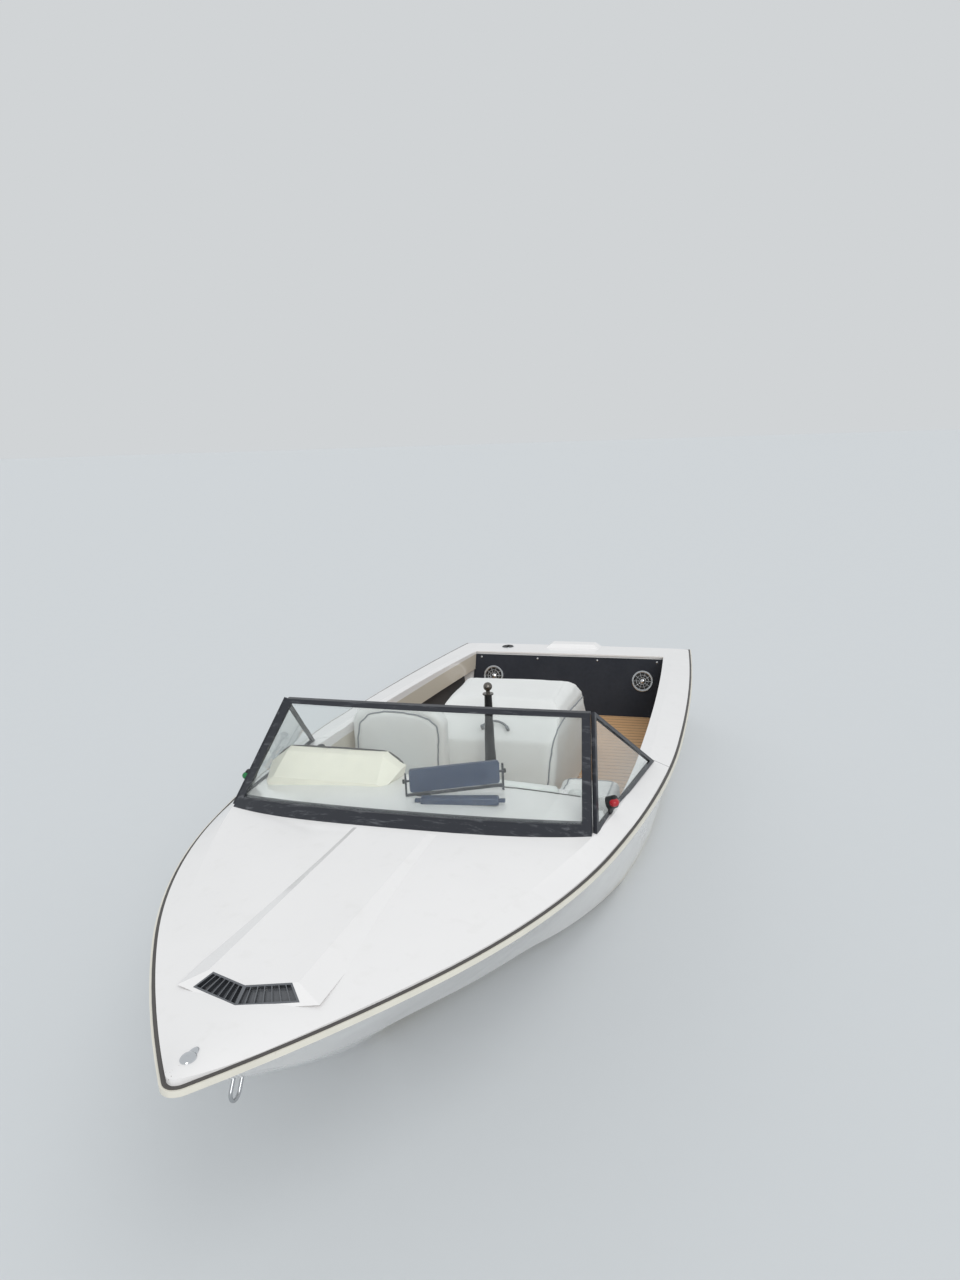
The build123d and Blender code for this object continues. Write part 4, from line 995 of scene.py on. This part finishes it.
@dataclass
class Studio:
    """Floor at the waterline, soft lamps, pale world, and the camera at the photograph's angle."""

    eye: tuple[float, float, float] = (7.454, 1.418, 2.418)
    yaw: float = 196.58
    pitch: float = -13.48
    roll: float = 2.38
    lens: float = 27.03
    sensor: float = 36.0
    far: float = 500.0
    floor_reach: float = 60.0
    hole_low: tuple[float, float] = (1.15, -0.33)
    hole_high: tuple[float, float] = (2.50, 0.33)
    backdrop: str = "#D1D4D6"
    floor_colour: str = "#CED1D3"
    fill: float = 1.13
    lamps: tuple = (
        # name, direction that it shines from, spread in degrees, power, seen in gloss
        ("sky_lamp", (2.0, 3.5, 7.0), 38.0, 0.38, False),
        ("bow_lamp", (8.0, 4.0, 4.5), 30.0, 1.00, True),
        ("stern_lamp", (-8.0, -5.0, 4.5), 40.0, 0.30, False),
    )

    def build(self) -> None:
        """Sets up the camera, the world, the lamps and the floor."""
        self.aim_camera()
        self.light_world()
        for name, source, spread, power, glossy in self.lamps:
            data = bpy.data.lights.new(name, "SUN")
            data.energy = power
            data.angle = math.radians(spread)
            lamp = linked(name, data)
            lamp.rotation_euler = (-Vector(source)).to_track_quat("-Z", "Y").to_euler()
            lamp.visible_glossy = glossy
        self.lay_floor()

    def aim_camera(self) -> None:
        """Puts the camera where the photograph was taken."""
        yaw, pitch = math.radians(self.yaw), math.radians(self.pitch)
        look = Vector((math.cos(yaw) * math.cos(pitch), math.sin(yaw) * math.cos(pitch), math.sin(pitch)))
        tilt = Quaternion((0, 0, 1), -math.radians(self.roll))
        camera = linked("photo_camera", bpy.data.cameras.new("photo_camera"))
        camera.location = self.eye
        camera.rotation_euler = (look.to_track_quat("-Z", "Y") @ tilt).to_euler()
        camera.data.lens = self.lens
        camera.data.sensor_width = self.sensor
        camera.data.clip_end = self.far
        bpy.context.scene.camera = camera

    def light_world(self) -> None:
        """Gives the world a pale even sky, plain to the camera and to gloss."""
        scene = bpy.context.scene
        scene.view_settings.view_transform = "Standard"
        scene.world = bpy.data.worlds.new("studio")
        scene.world.use_nodes = True
        tree = scene.world.node_tree
        path = add_node(tree, "LightPath")
        seen = calc(tree, "MAXIMUM", path.outputs["Is Camera Ray"], path.outputs["Is Glossy Ray"])
        through = calc(tree, "MAXIMUM", seen, path.outputs["Is Transmission Ray"])
        sky = tree.nodes["Background"]
        sky.inputs["Color"].default_value = linear(self.backdrop)
        tree.links.new(mapped(tree, through, (0.0, 1.0), (self.fill, 1.0)), sky.inputs["Strength"])

    def lay_floor(self) -> None:
        """Lays the floor at the waterline, open only inside the hull's own bottom."""
        mesh = bmesh.new()
        (x0, y0), (x1, y1) = self.hole_low, self.hole_high
        inner = [mesh.verts.new((x, y, 0)) for x, y in ((x0, y0), (x1, y0), (x1, y1), (x0, y1))]
        hole = mesh.faces.new(inner)
        outer = bmesh.ops.extrude_edge_only(mesh, edges=list(hole.edges))["geom"]
        reach = self.floor_reach
        for vertex in (item for item in outer if isinstance(item, bmesh.types.BMVert)):
            vertex.co.x = reach if vertex.co.x > (x0 + x1) / 2 else -reach
            vertex.co.y = reach if vertex.co.y > 0 else -reach
        bmesh.ops.delete(mesh, geom=[hole], context="FACES_ONLY")
        floor = meshed("floor", mesh)
        floor.data.materials.append(Finish("studio floor", self.floor_colour, 0.9, mottle=0.0).build())


@dataclass
class EngineCover:
    """Upholstered engine cover: side panels sewn to the top with dark piping, open below."""

    # level, rear, front, half-width at the rear, half-width at the front
    rows: tuple = (
        (0.106, 1.114, 2.494, 0.396, 0.346),
        (0.560, 1.561, 2.396, 0.388, 0.371),
        (0.650, 1.650, 2.299, 0.384, 0.368),
        (0.715, 1.716, 2.228, 0.360, 0.346),
        (0.751, 1.768, 2.184, 0.312, 0.304),
    )
    middle: float = -0.030
    corner: float = 0.058
    rim: float = 0.020
    skin: float = 0.010
    wall: float = 0.018
    # how far from its line a seam draws the skin in, and how deep
    welt_press: tuple = (0.045, 0.006)
    top_press: tuple = (0.030, 0.004)
    fold_press: tuple = (0.045, 0.004)
    # amount, wave length, seed
    slacks: tuple = ((0.0035, 0.16, 0.0), (0.0012, 0.05, 7.0))
    welt_radius: float = 0.0045
    stitch_radius: float = 0.0016
    foot_normal: float = -0.7
    foot_level: float = 0.14
    # lines are given across from the middle; the first runs from the front foot over the side to the rear
    welt_line: tuple = (
        (2.470, 0.322, 0.140), (2.450, 0.325, 0.308), (2.410, 0.335, 0.461), (2.375, 0.362, 0.585),
        (2.330, 0.372, 0.620), (2.200, 0.378, 0.632), (2.040, 0.382, 0.635), (1.800, 0.386, 0.620),
        (1.620, 0.390, 0.606), (1.530, 0.390, 0.530), (1.350, 0.392, 0.350), (1.220, 0.394, 0.225),
        (1.135, 0.396, 0.140),
    )
    fold_line: tuple = (
        (2.392, -0.340, 0.572), (2.398, -0.150, 0.572), (2.398, 0.150, 0.572), (2.392, 0.340, 0.572),
    )
    # port half only: seams of the top panel over the front slope
    top_seam: tuple = (
        (1.770, 0.300, 0.755), (2.000, 0.312, 0.755), (2.150, 0.310, 0.752), (2.330, 0.372, 0.625),
    )
    leaf_at: tuple = (1.080, 0.124)
    leaf_middles: tuple = (0.250, -0.250)
    leaf_reach: float = 0.040
    leaf_size: float = 0.034
    leaf_ahead: float = 0.020
    knuckle: float = 0.012

    def build(self) -> None:
        """Makes the upholstery with its piping and stitching, and the hinge leaves."""
        shape = Shape("cover_upholstery")
        loops = []
        for level, rear, front, rear_half, front_half in self.rows:
            corners = ((rear, -rear_half), (front, -front_half), (front, front_half), (rear, rear_half))
            verts = [shape.mesh.verts.new((x, y, level)) for x, y in corners]
            loops.append([shape.mesh.edges.new((verts[i - 1], verts[i])) for i in range(4)])
        for low, high in zip(loops, loops[1:]):
            bmesh.ops.bridge_loops(shape.mesh, edges=low + high)
        bmesh.ops.holes_fill(shape.mesh, edges=loops[0] + loops[-1], sides=4)
        shape.round_edges(shape.edges_along(2, 0.1), self.corner, 6)
        shape.round_edges(shape.edges_beyond(self.rows[-1][0] - 1e-4), self.rim, 3)
        bmesh.ops.translate(shape.mesh, verts=shape.mesh.verts, vec=(0, self.middle, 0))
        cover = voxel_skin(shape, self.skin)
        smooth_skin(cover, 3)
        sides = (("port", 1), ("starboard", -1))
        for _, side in sides:
            press_seam(cover, self.mirrored(self.welt_line, side), *self.welt_press)
            press_seam(cover, self.mirrored(self.top_seam, side), *self.top_press)
        press_seam(cover, self.mirrored(self.fold_line, 1), *self.fold_press)
        for slack in self.slacks:
            slacken(cover, *slack)
        self.open_foot(cover)
        dress(cover, SEAT_VINYL, "cover_body", 60.0)
        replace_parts(cover, "engine_cover")
        for name, side in sides:
            line = self.mirrored(self.welt_line, side)
            welt(f"cover_piping_{name}", line, cover, self.welt_radius, "cover_body")
            line = self.mirrored(self.top_seam, side)
            welt(
                f"cover_stitching_{name}", line, cover, self.stitch_radius, "cover_body",
                SEAT_VINYL,
            )
        self.add_leaves()

    def mirrored(self, line: tuple, side: int) -> list:
        """Puts a line that is given across from the cover's middle on one side of the boat."""
        return [(x, self.middle + side * y, z) for x, y, z in line]

    def open_foot(self, cover: Piece) -> None:
        """Opens the skin below and gives it its wall thickness inwards.

        Args:
            cover: The closed skin.
        """
        mesh = bmesh.new()
        mesh.from_mesh(cover.data)
        foot = [
            face for face in mesh.faces
            if face.normal.z < self.foot_normal and face.calc_center_median().z < self.foot_level
        ]
        bmesh.ops.delete(mesh, geom=foot, context="FACES")
        mesh.to_mesh(cover.data)
        mesh.free()
        wall = cover.modifiers.new("Wall", "SOLIDIFY")
        wall.thickness = self.wall
        wall.offset = -1.0

    def add_leaves(self) -> None:
        """Adds the cover's own leaves of the two hinges."""
        leaves = Shape("cover_hinge_leaves")
        (x, z), size = self.leaf_at, self.leaf_size
        for middle in self.leaf_middles:
            start = middle + self.leaf_reach
            leaves.rod((x, start, z), (x, start - size, z), self.knuckle, edge=0.001)
            leaves.box((x + self.leaf_ahead, start - size / 2, z), (size, size, 0.006), 0.001)
        leaves.done(STEEL, "steel", "cover_body")


@dataclass
class Seats:
    """Driver's seat and the observer's low seat, in stuffed vinyl with piping."""

    skin: float = 0.009
    reach: float = 0.010
    shrink: float = 0.008
    crown: float = 0.122
    corner: float = 0.055
    rim: float = 0.028
    front_edge: float = 0.018
    piping_inset: float = 0.052
    channel_inset: float = 0.03
    # how far from its line a seam draws the skin in, and how deep
    channel_press: tuple = (0.035, 0.011)
    rim_press: tuple = (0.02, 0.005)
    arch_press: tuple = (0.03, 0.008)
    # amount, wave length, seed
    back_slack: tuple = (0.002, 0.12, 3.0)
    # across, height: edge of the back's front panel
    arch: tuple = (
        (-0.790, 0.350), (-0.798, 0.480), (-0.793, 0.600), (-0.770, 0.690), (-0.715, 0.745),
        (-0.620, 0.766), (-0.500, 0.764), (-0.410, 0.752), (-0.348, 0.730), (-0.303, 0.690),
        (-0.297, 0.620), (-0.306, 0.489), (-0.312, 0.350),
    )

    def build(self) -> None:
        """Makes the three cushions."""
        self.cushion("driver_seat_cushion", "driver_squab", (0.10, 0.235))
        self.cushion("observer_seat_cushion", "observer_squab", (0.12, 0.30, 0.48))
        self.back()

    def block(self, node: str, name: str) -> tuple[Shape, Vector, Vector]:
        """Starts a cushion as a block, a little smaller than its CAD solid's box.

        Args:
            node: CAD node that it replaces.
            name: Name of the piece.

        Returns:
            The block, and the lower and upper corner of the solid's box.
        """
        low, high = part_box(node)
        shape = Shape(name)
        size = high - low - Vector((2, 2, 1)) * self.shrink
        shape.box((low + high - Vector((0, 0, self.shrink))) / 2, size)
        return shape, low, high

    def stuffed(self, shape: Shape) -> Piece:
        """Turns a rounded block into a stuffed skin.

        Args:
            shape: The rounded block.

        Returns:
            The skin, not dressed yet.
        """
        skin = voxel_skin(shape, self.skin)
        smooth_skin(skin, 2)
        stuff(skin, self.reach)
        return skin

    def cushion(self, node: str, name: str, channels: tuple) -> None:
        """Makes one seat cushion from its CAD solid's box.

        Args:
            node: CAD node that it replaces.
            name: Name of the piece.
            channels: Places of the sewn channels, from its rear edge.
        """
        shape, low, high = self.block(node, name)
        shape.round_edges(shape.edges_along(2, 0.05), self.corner, 5)
        shape.round_edges(shape.edges_beyond(high.z - 2 * self.shrink), self.rim, 4)
        skin = self.stuffed(shape)
        for share in channels:
            ends = (low.y + self.channel_inset, high.y - self.channel_inset)
            press_seam(skin, [(low.x + share, y, high.z) for y in ends], *self.channel_press)
        (rear, right), (front, left) = low.xy, high.xy
        inset = self.piping_inset
        rear, right, front, left = rear + inset, right + inset, front - inset, left - inset
        corners = ((rear, right), (front, right), (front, left), (rear, left), (rear, right))
        rim = [(x, y, high.z) for x, y in corners]
        press_seam(skin, rim, *self.rim_press)
        for vertex in skin.data.vertices:
            vertex.co.z = max(vertex.co.z, low.z)
        dress(skin, SEAT_VINYL, ROOT, 60.0)
        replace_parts(skin, node)
        welt(f"{name}_piping", rim[:-1], skin, 0.004, closed=True)

    def back(self) -> None:
        """Makes the driver's arched back with piping round its front panel."""
        node = "driver_seat_back"
        shape, _, high = self.block(node, "driver_back")
        lengthwise = shape.edges_along(0, 0.05)
        crown = [edge for edge in shape.edges_beyond(high.z - 2 * self.shrink) if edge in lengthwise]
        shape.round_edges(crown, self.crown, 8)
        shape.round_edges(shape.edges_beyond(high.x - 2 * self.shrink, 0), self.front_edge, 3)
        skin = self.stuffed(shape)
        arch = [(high.x, y, z) for y, z in self.arch]
        press_seam(skin, arch, *self.arch_press)
        slacken(skin, *self.back_slack)
        dress(skin, SEAT_VINYL, ROOT, 60.0)
        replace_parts(skin, node)
        welt("driver_back_piping", arch, skin, 0.0045)


@dataclass
class Helm:
    """Instrument pod with its dials, small parts of wheel, throttle and mirror, and the dash roll."""

    pod_rear: float = 3.498
    pod_mid_y: float = -0.478
    pod_edge: float = 0.014
    trim_radius: float = 0.006
    pod_outline: tuple = (
        # across from the pod's middle, height
        (-0.301, 0.745), (-0.335, 0.815), (-0.249, 0.880), (0.249, 0.880), (0.335, 0.815), (0.301, 0.745),
    )
    dials: tuple = (
        # across from the pod's middle, height, radius
        (-0.095, 0.800, 0.044), (0.095, 0.800, 0.044), (-0.195, 0.795, 0.026), (0.195, 0.795, 0.026),
        (0.000, 0.775, 0.024),
    )
    ticks: int = 11
    tick_from: float = -130.0
    tick_step: float = 26.0
    needle_turn: float = 118.0
    knob_at: tuple = (3.080, -0.785, 0.690)
    wheel_at: tuple = (3.290, -0.505, 0.545)
    wheel_axis: tuple = (-0.939693, 0.0, 0.342020)
    mirror_at: tuple = (3.690, 0.155, 0.856)
    mirror_turn: float = 27.0
    mirror_size: tuple = (0.400, 0.105)
    knob_reach: tuple = (0.221, 0.230)
    bar_at: tuple = (3.815, 0.215)
    bar_turn: float = 10.5
    bar_size: tuple = (0.335, 0.045, 0.034)
    pad_at: tuple = (3.735, 0.020)
    roll_x: float = 3.528
    roll_radius: float = 0.030
    roll_sunk: float = 0.007
    roll_skin: float = 0.006
    # amount, wave length
    roll_slack: tuple = (0.0012, 0.07)
    edge_step: float = 0.05
    rolls: tuple = (("dash_roll", -0.060, 0.560), ("dash_roll_port", 0.655, 0.735))

    def build(self) -> None:
        """Makes the pod, its dials, the wheel's cap, the throttle's knob, the mirror and the roll."""
        self.pod()
        self.gauges()
        self.wheel()
        self.lever()
        self.mirror()
        self.dash_roll()

    def pod(self) -> None:
        """Covers the pod in vinyl with soft edges and a dark trim round its rear."""
        shape = Shape("pod_cover")
        shape.mesh.from_mesh(bpy.data.objects["instrument_pod"].data)
        bmesh.ops.remove_doubles(shape.mesh, verts=shape.mesh.verts, dist=1e-5)
        bmesh.ops.dissolve_limit(
            shape.mesh, angle_limit=math.radians(2), verts=shape.mesh.verts, edges=shape.mesh.edges
        )
        pod = shape.done(POD_VINYL, "pod_vinyl")
        soft = pod.modifiers.new("Soft edges", "BEVEL")
        soft.width = self.pod_edge
        soft.segments = 4
        soft.limit_method = "ANGLE"
        soft.angle_limit = math.radians(20)
        soft.harden_normals = False
        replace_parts(pod, "instrument_pod")
        rim = [(self.pod_rear + 0.004, self.pod_mid_y + y, z) for y, z in self.pod_outline]
        trim = cord_mesh("pod_trim", self.corner_points(rim), self.trim_radius)
        dress(trim, INSERT_RUBBER)

    @staticmethod
    def corner_points(points: list) -> list:
        """Puts two points near each corner of a line, so that a spline turns tightly there.

        Args:
            points: The line's corners.

        Returns:
            The line with its ends as they were.
        """
        line = [Vector(points[0])]
        for before, corner, after in zip(points, points[1:], points[2:]):
            here = Vector(corner)
            line.append(here + (Vector(before) - here).normalized() * 0.02)
            line.append(here + (Vector(after) - here).normalized() * 0.02)
        line.append(Vector(points[-1]))
        return line

    def gauges(self) -> None:
        """Sets the dials into the pod's rear face, with bezels, marks, needles and glasses."""
        bezels, faces, marks, needles, glasses = (
            Shape(f"gauge_{part}") for part in ("bezels", "faces", "marks", "needles", "glasses")
        )
        for y, z, radius in self.dials:
            centre = Vector((self.pod_rear, self.pod_mid_y + y, z))
            aft = Vector((-1, 0, 0))
            bezels.ring(centre + aft * 0.003, aft, radius, 0.004, flat=1.2)
            faces.rod(centre + aft * 0.0005, centre + aft * 0.002, radius, sides=40)
            for tick in range(self.ticks):
                angle = math.radians(self.tick_from + self.tick_step * tick)
                out = Vector((0, math.sin(angle), math.cos(angle)))
                marks.box(
                    (0, 0, 0), (0.0006, 0.0015, radius * 0.16),
                    matrix=Matrix.Translation(centre + aft * 0.0024 + out * radius * 0.8)
                    @ Matrix.Rotation(-angle, 4, "X"),
                )
            turn = Matrix.Rotation(math.radians(self.needle_turn), 4, "X")
            swing = Matrix.Translation(centre + aft * 0.0032) @ turn
            needles.box((0, 0, radius * 0.3), (0.0006, 0.002, radius * 0.75), matrix=swing)
            glasses.rod(centre + aft * 0.0045, centre + aft * 0.0055, radius * 0.97, sides=40)
        bezels.done(CHROME, "chrome")
        faces.done(BLACK_PLASTIC, "dark_plastic")
        marks.done(DIAL_WHITE, "light_plastic")
        needles.done(NEEDLE_RED, "light_plastic")
        glasses.done(GAUGE_GLASS, "screen_glass")

    def wheel(self) -> None:
        """Adds the wheel's horn cap and the chrome ring round it."""
        centre, axis = Vector(self.wheel_at), Vector(self.wheel_axis)
        cap = Shape("wheel_cap")
        dome = ((0.0, 0.020), (0.018, 0.019), (0.026, 0.014), (0.030, 0.005), (0.0, 0.005))
        cap.turned(dome, centre, axis)
        cap.done(BLACK_PLASTIC, "dark_plastic", "wheel_body")
        ring = Shape("wheel_cap_ring")
        ring.ring(centre + axis * 0.007, axis, 0.031, 0.003)
        ring.done(CHROME, "chrome", "wheel_body")

    def lever(self) -> None:
        """Adds the throttle's knob."""
        knob = Shape("throttle_knob")
        knob.turned(
            [(0.0, 0.0), (0.012, 0.002), (0.021, 0.012), (0.023, 0.024), (0.018, 0.036), (0.0, 0.041)],
            self.knob_at, (0, 0, 1),
        )
        knob.done(BLACK_PLASTIC, "dark_plastic")

    def mirror(self) -> None:
        """Gives the mirror its silvered face and clamp knobs."""
        turn = Matrix.Rotation(math.radians(self.mirror_turn), 4, "Z")
        frame = Matrix.Translation(self.mirror_at) @ turn
        width, height = self.mirror_size
        face = Shape("mirror_face")
        face.box((-0.0098, 0, 0), (0.0012, width - 0.016, height - 0.016), 0.0005, frame, 1)
        face.done(MIRROR_FACE, "mirror_body")
        knobs = Shape("mirror_knobs")
        for side in (1, -1):
            start, end = ((0, side * reach, 0) for reach in self.knob_reach)
            knobs.rod(start, end, 0.010, sides=12, edge=0.001, matrix=frame)
        knobs.done(BLACK_PLASTIC, "dark_plastic")
        self.mirror_foot()

    def mirror_foot(self) -> None:
        """Adds the padded bar and the round pad at the foot of the mirror, seated on the deck."""
        deck = surface_of(bpy.data.objects["deck"])
        spot, _ = drop_on(deck, *self.bar_at)
        turn = Matrix.Translation(spot) @ Matrix.Rotation(math.radians(self.bar_turn), 4, "Z")
        bar = Shape("mirror_bar")
        length, depth, height = self.bar_size
        bar.box((0, 0, height / 2 - 0.003), (depth, length, height), 0.008, turn)
        for side in (1, -1):
            bar.box((-0.004, side * (length / 2 + 0.012), 0.012), (0.020, 0.030, 0.014), 0.003, turn)
        bar.done(MIRROR_BACK, "mirror_body")
        pad = Shape("mirror_pad")
        spot, normal = drop_on(deck, *self.pad_at)
        disc = ((0.0, 0.010), (0.036, 0.009), (0.042, 0.004), (0.043, -0.001), (0.0, -0.001))
        pad.turned(disc, spot, normal)
        pad.done(BLACK_PLASTIC, "dark_plastic")

    def dash_roll(self) -> None:
        """Lays the padded roll along the deck's aft edge, with the dark line in front of it."""
        deck = surface_of(bpy.data.objects["deck"])
        for name, start, end in self.rolls:
            steps = max(int((end - start) / 0.06), 3)
            sunk = Vector((0, 0, self.roll_sunk))
            line = [
                drop_on(deck, self.roll_x, start + (end - start) * step / steps)[0] - sunk
                for step in range(steps + 1)
            ]
            roll = Shape(f"{name}_rough")
            cord = cord_mesh(f"{name}_line", line, self.roll_radius)
            roll.mesh.from_mesh(cord.data)
            bpy.data.objects.remove(cord)
            for tip in (line[0], line[-1]):
                roll.ball(tip, (self.roll_radius,) * 3, sides=16)
            roll.name = name
            pad = voxel_skin(roll, self.roll_skin)
            smooth_skin(pad, 2)
            slacken(pad, *self.roll_slack, start)
            dress(pad, SEAT_VINYL)
        start, end = self.rolls[0][1], self.rolls[-1][2]
        edge = [
            drop_on(deck, self.roll_x + self.roll_radius, start + self.edge_step * step)[0]
            for step in range(int((end - start) / self.edge_step) + 1)
        ]
        dress(cord_mesh("dash_roll_edge", edge, 0.004), INSERT_RUBBER)


@dataclass
class RearPanel:
    """Carpeted panel in front of the tank space: loudspeakers and screws."""

    foot: tuple = (0.460, 0.0, 0.100)
    top: tuple = (0.335, 0.0, 0.5359)
    speaker_y: float = 0.586
    speaker_z: float = 0.363
    screws: tuple = (
        # across, height up the slope
        (0.690, 0.420), (0.235, 0.420), (-0.235, 0.420), (-0.690, 0.420),
        (0.70, 0.035), (0.0, 0.035), (-0.70, 0.035),
    )

    def build(self) -> None:
        """Makes the grilles, cones and screws."""
        rise = (Vector(self.top) - Vector(self.foot)).normalized()
        across = Vector((0, 1, 0))
        outward = across.cross(rise)
        if outward.x < 0:
            outward = -outward
        frames, cones, caps = Shape("speaker_frames"), Shape("speaker_membranes"), Shape("speaker_caps")
        lift = (self.speaker_z - self.foot[2]) / rise.z
        for side in (1, -1):
            centre = Vector(self.foot) + rise * lift + across * side * self.speaker_y
            self.speaker(frames, cones, caps, centre, outward)
        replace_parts(frames.done(STEEL, "steel"), "speaker_grilles")
        cones.done(BLACK_PLASTIC, "dark_plastic")
        caps.done(CHROME, "chrome")
        heads = Shape("panel_screws")
        for y, up in self.screws:
            spot = Vector(self.foot) + rise * up + across * y
            heads.turned([(0.0, 0.003), (0.005, 0.0025), (0.008, 0.0), (0.0, 0.0)], spot, outward, 16)
        heads.done(STEEL, "steel")

    @staticmethod
    def speaker(frames: Shape, cones: Shape, caps: Shape, centre: Vector, outward: Vector) -> None:
        """Adds one loudspeaker: a rim, two rings joined by spokes, a membrane and a dust cap.

        Args:
            frames: Shape that takes the rim, rings and spokes.
            cones: Shape that takes the membrane.
            caps: Shape that takes the dust cap.
            centre: Middle of the loudspeaker, on the panel.
            outward: Direction that it faces.
        """
        rim = (
            (0.064, 0.0), (0.080, 0.0), (0.080, 0.004), (0.076, 0.007), (0.068, 0.007), (0.064, 0.004),
            (0.064, 0.0),
        )
        frames.turned(rim, centre, outward, 56)
        for radius in (0.045, 0.026):
            frames.ring(centre + outward * 0.004, outward, radius, 0.0022)
        spokes = 10
        for spoke in range(spokes):
            around = stood(centre, outward) @ Matrix.Rotation(math.tau * spoke / spokes, 4, "Z")
            frames.box((0.044, 0, 0.004), (0.045, 0.0045, 0.004), 0.001, around, 1)
        cones.turned([(0.063, 0.001), (0.030, -0.008), (0.0, -0.009)], centre, outward, 40)
        caps.turned([(0.0, 0.006), (0.012, 0.004), (0.021, -0.002), (0.0, -0.002)], centre, outward, 32)


@dataclass
class DeckGear:
    """Small gear: screws of the windscreen, side lights, bow fitting, filler cap, tow pylon's bolts."""

    screw_count: int = 11
    base_corner: tuple = (3.925, 0.802, 0.748)
    base_bulge: tuple = (4.100, 0.0, 0.800)
    rail_half: float = 0.024
    lens_drop: float = 0.028
    lens_ahead: float = 0.017
    lens_radii: tuple = (0.022, 0.022, 0.018)
    filler_ring: tuple = (0.045, 0.003)
    pylon_x: float = 2.580
    bolt_count: int = 6
    bolt_circle: float = 0.054
    bolt_levels: tuple = (0.112, 0.119)

    def build(self) -> None:
        """Makes every small piece on deck."""
        self.frame_screws()
        self.side_lights()
        self.fitting()
        self.filler()
        self.pylon()

    def frame_screws(self) -> None:
        """Sets pan-head screws along the middle of the windscreen's base rail."""
        rail = surface_of(bpy.data.objects["windscreen_frame"])
        corner, bulge = Vector(self.base_corner), Vector(self.base_bulge)
        heads = Shape("windscreen_screws")
        for step in range(self.screw_count):
            share = 2 * (step + 0.5) / self.screw_count - 1
            foot = bulge.lerp(Vector((corner.x, 0, corner.z)), share * share)
            foot.y = share * corner.y
            start = foot + Vector((0.30, 0, 0.22))
            spot, normal, _, _ = rail.find_nearest(foot + Vector((0.03, 0, self.rail_half + 0.01)))
            if normal.dot(start - spot) < 0:
                normal = -normal
            pan = ((0.0, 0.0026), (0.0035, 0.0022), (0.0055, 0.0), (0.0, -0.0005))
            heads.turned(pan, spot, normal, 16)
        heads.done(BLACK_ALLOY, "black_alloy")

    def side_lights(self) -> None:
        """Sets the coloured lenses into the side lights."""
        for side, node, lens, slot in (
            (1, "nav_light_port", RED_LENS, "red_lens"),
            (-1, "nav_light_starboard", GREEN_LENS, "green_lens"),
        ):
            low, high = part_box(node)
            middle = (low + high) / 2
            centre = Vector((middle.x, middle.y, high.z - self.lens_drop))
            outward = Vector((1.0, side * 0.75, 0.15)).normalized()
            glass = Shape(f"{node}_lens")
            glass.ball(centre + outward * self.lens_ahead, self.lens_radii)
            glass.done(lens, slot)

    def fitting(self) -> None:
        """Polishes the bow fitting into a smooth teardrop that points aft."""
        low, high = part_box("bow_fitting")
        shape = Shape("bow_teardrop")
        middle = Vector((high.x - 0.026, 0, high.z - 0.012))
        shape.ball(middle, (0.026, (high.y - low.y) / 2, 0.0115), sides=32)
        shape.ball((low.x + 0.030, 0, high.z - 0.0125), (0.030, 0.0135, 0.009), sides=24)
        level = high.z - 0.0165
        shape.rod((low.x + 0.030, 0, level), (high.x - 0.022, 0, level), 0.0125, 0.018, edge=0.002)
        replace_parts(shape.done(CHROME, "chrome"), "bow_fitting")

    def filler(self) -> None:
        """Adds the filler cap's steel rim."""
        low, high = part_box("fuel_filler_cap")
        rim = Shape("filler_rim")
        middle = ((low.x + high.x) / 2, (low.y + high.y) / 2, low.z + 0.004)
        rim.ring(middle, (0, 0, 1), *self.filler_ring)
        rim.done(STEEL, "steel")

    def pylon(self) -> None:
        """Adds the bolts of the tow pylon's flange."""
        bolts = Shape("pylon_bolts")
        (foot, top), reach = self.bolt_levels, self.bolt_circle
        for step in range(self.bolt_count):
            angle = math.tau * (step + 0.5) / self.bolt_count
            x, y = self.pylon_x + reach * math.cos(angle), reach * math.sin(angle)
            bolts.rod((x, y, foot), (x, y, top), 0.009, sides=6, edge=0.0008)
        bolts.done(STEEL, "steel")


def dress_nodes(nodes: dict) -> None:
    """Gives every CAD node that stays in view its finish.

    Args:
        nodes: The frame's objects by node name.
    """
    for finish, names in NODE_FINISHES.items():
        for name in names:
            materials = nodes[name].data.materials
            materials.clear()
            materials.append(finish.build())
        LOG.info("%s: %s", finish.name, ", ".join(names))


def main() -> None:
    """Builds the whole scene around the frame."""
    logging.basicConfig(level=logging.INFO, format="%(message)s")
    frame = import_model()
    Studio().build()
    dress_nodes(frame["nodes"])
    for part in (EngineCover(), Seats(), Helm(), RearPanel(), DeckGear()):
        part.build()
        LOG.info("%s is done", type(part).__name__)


if __name__ == "__main__":
    main()
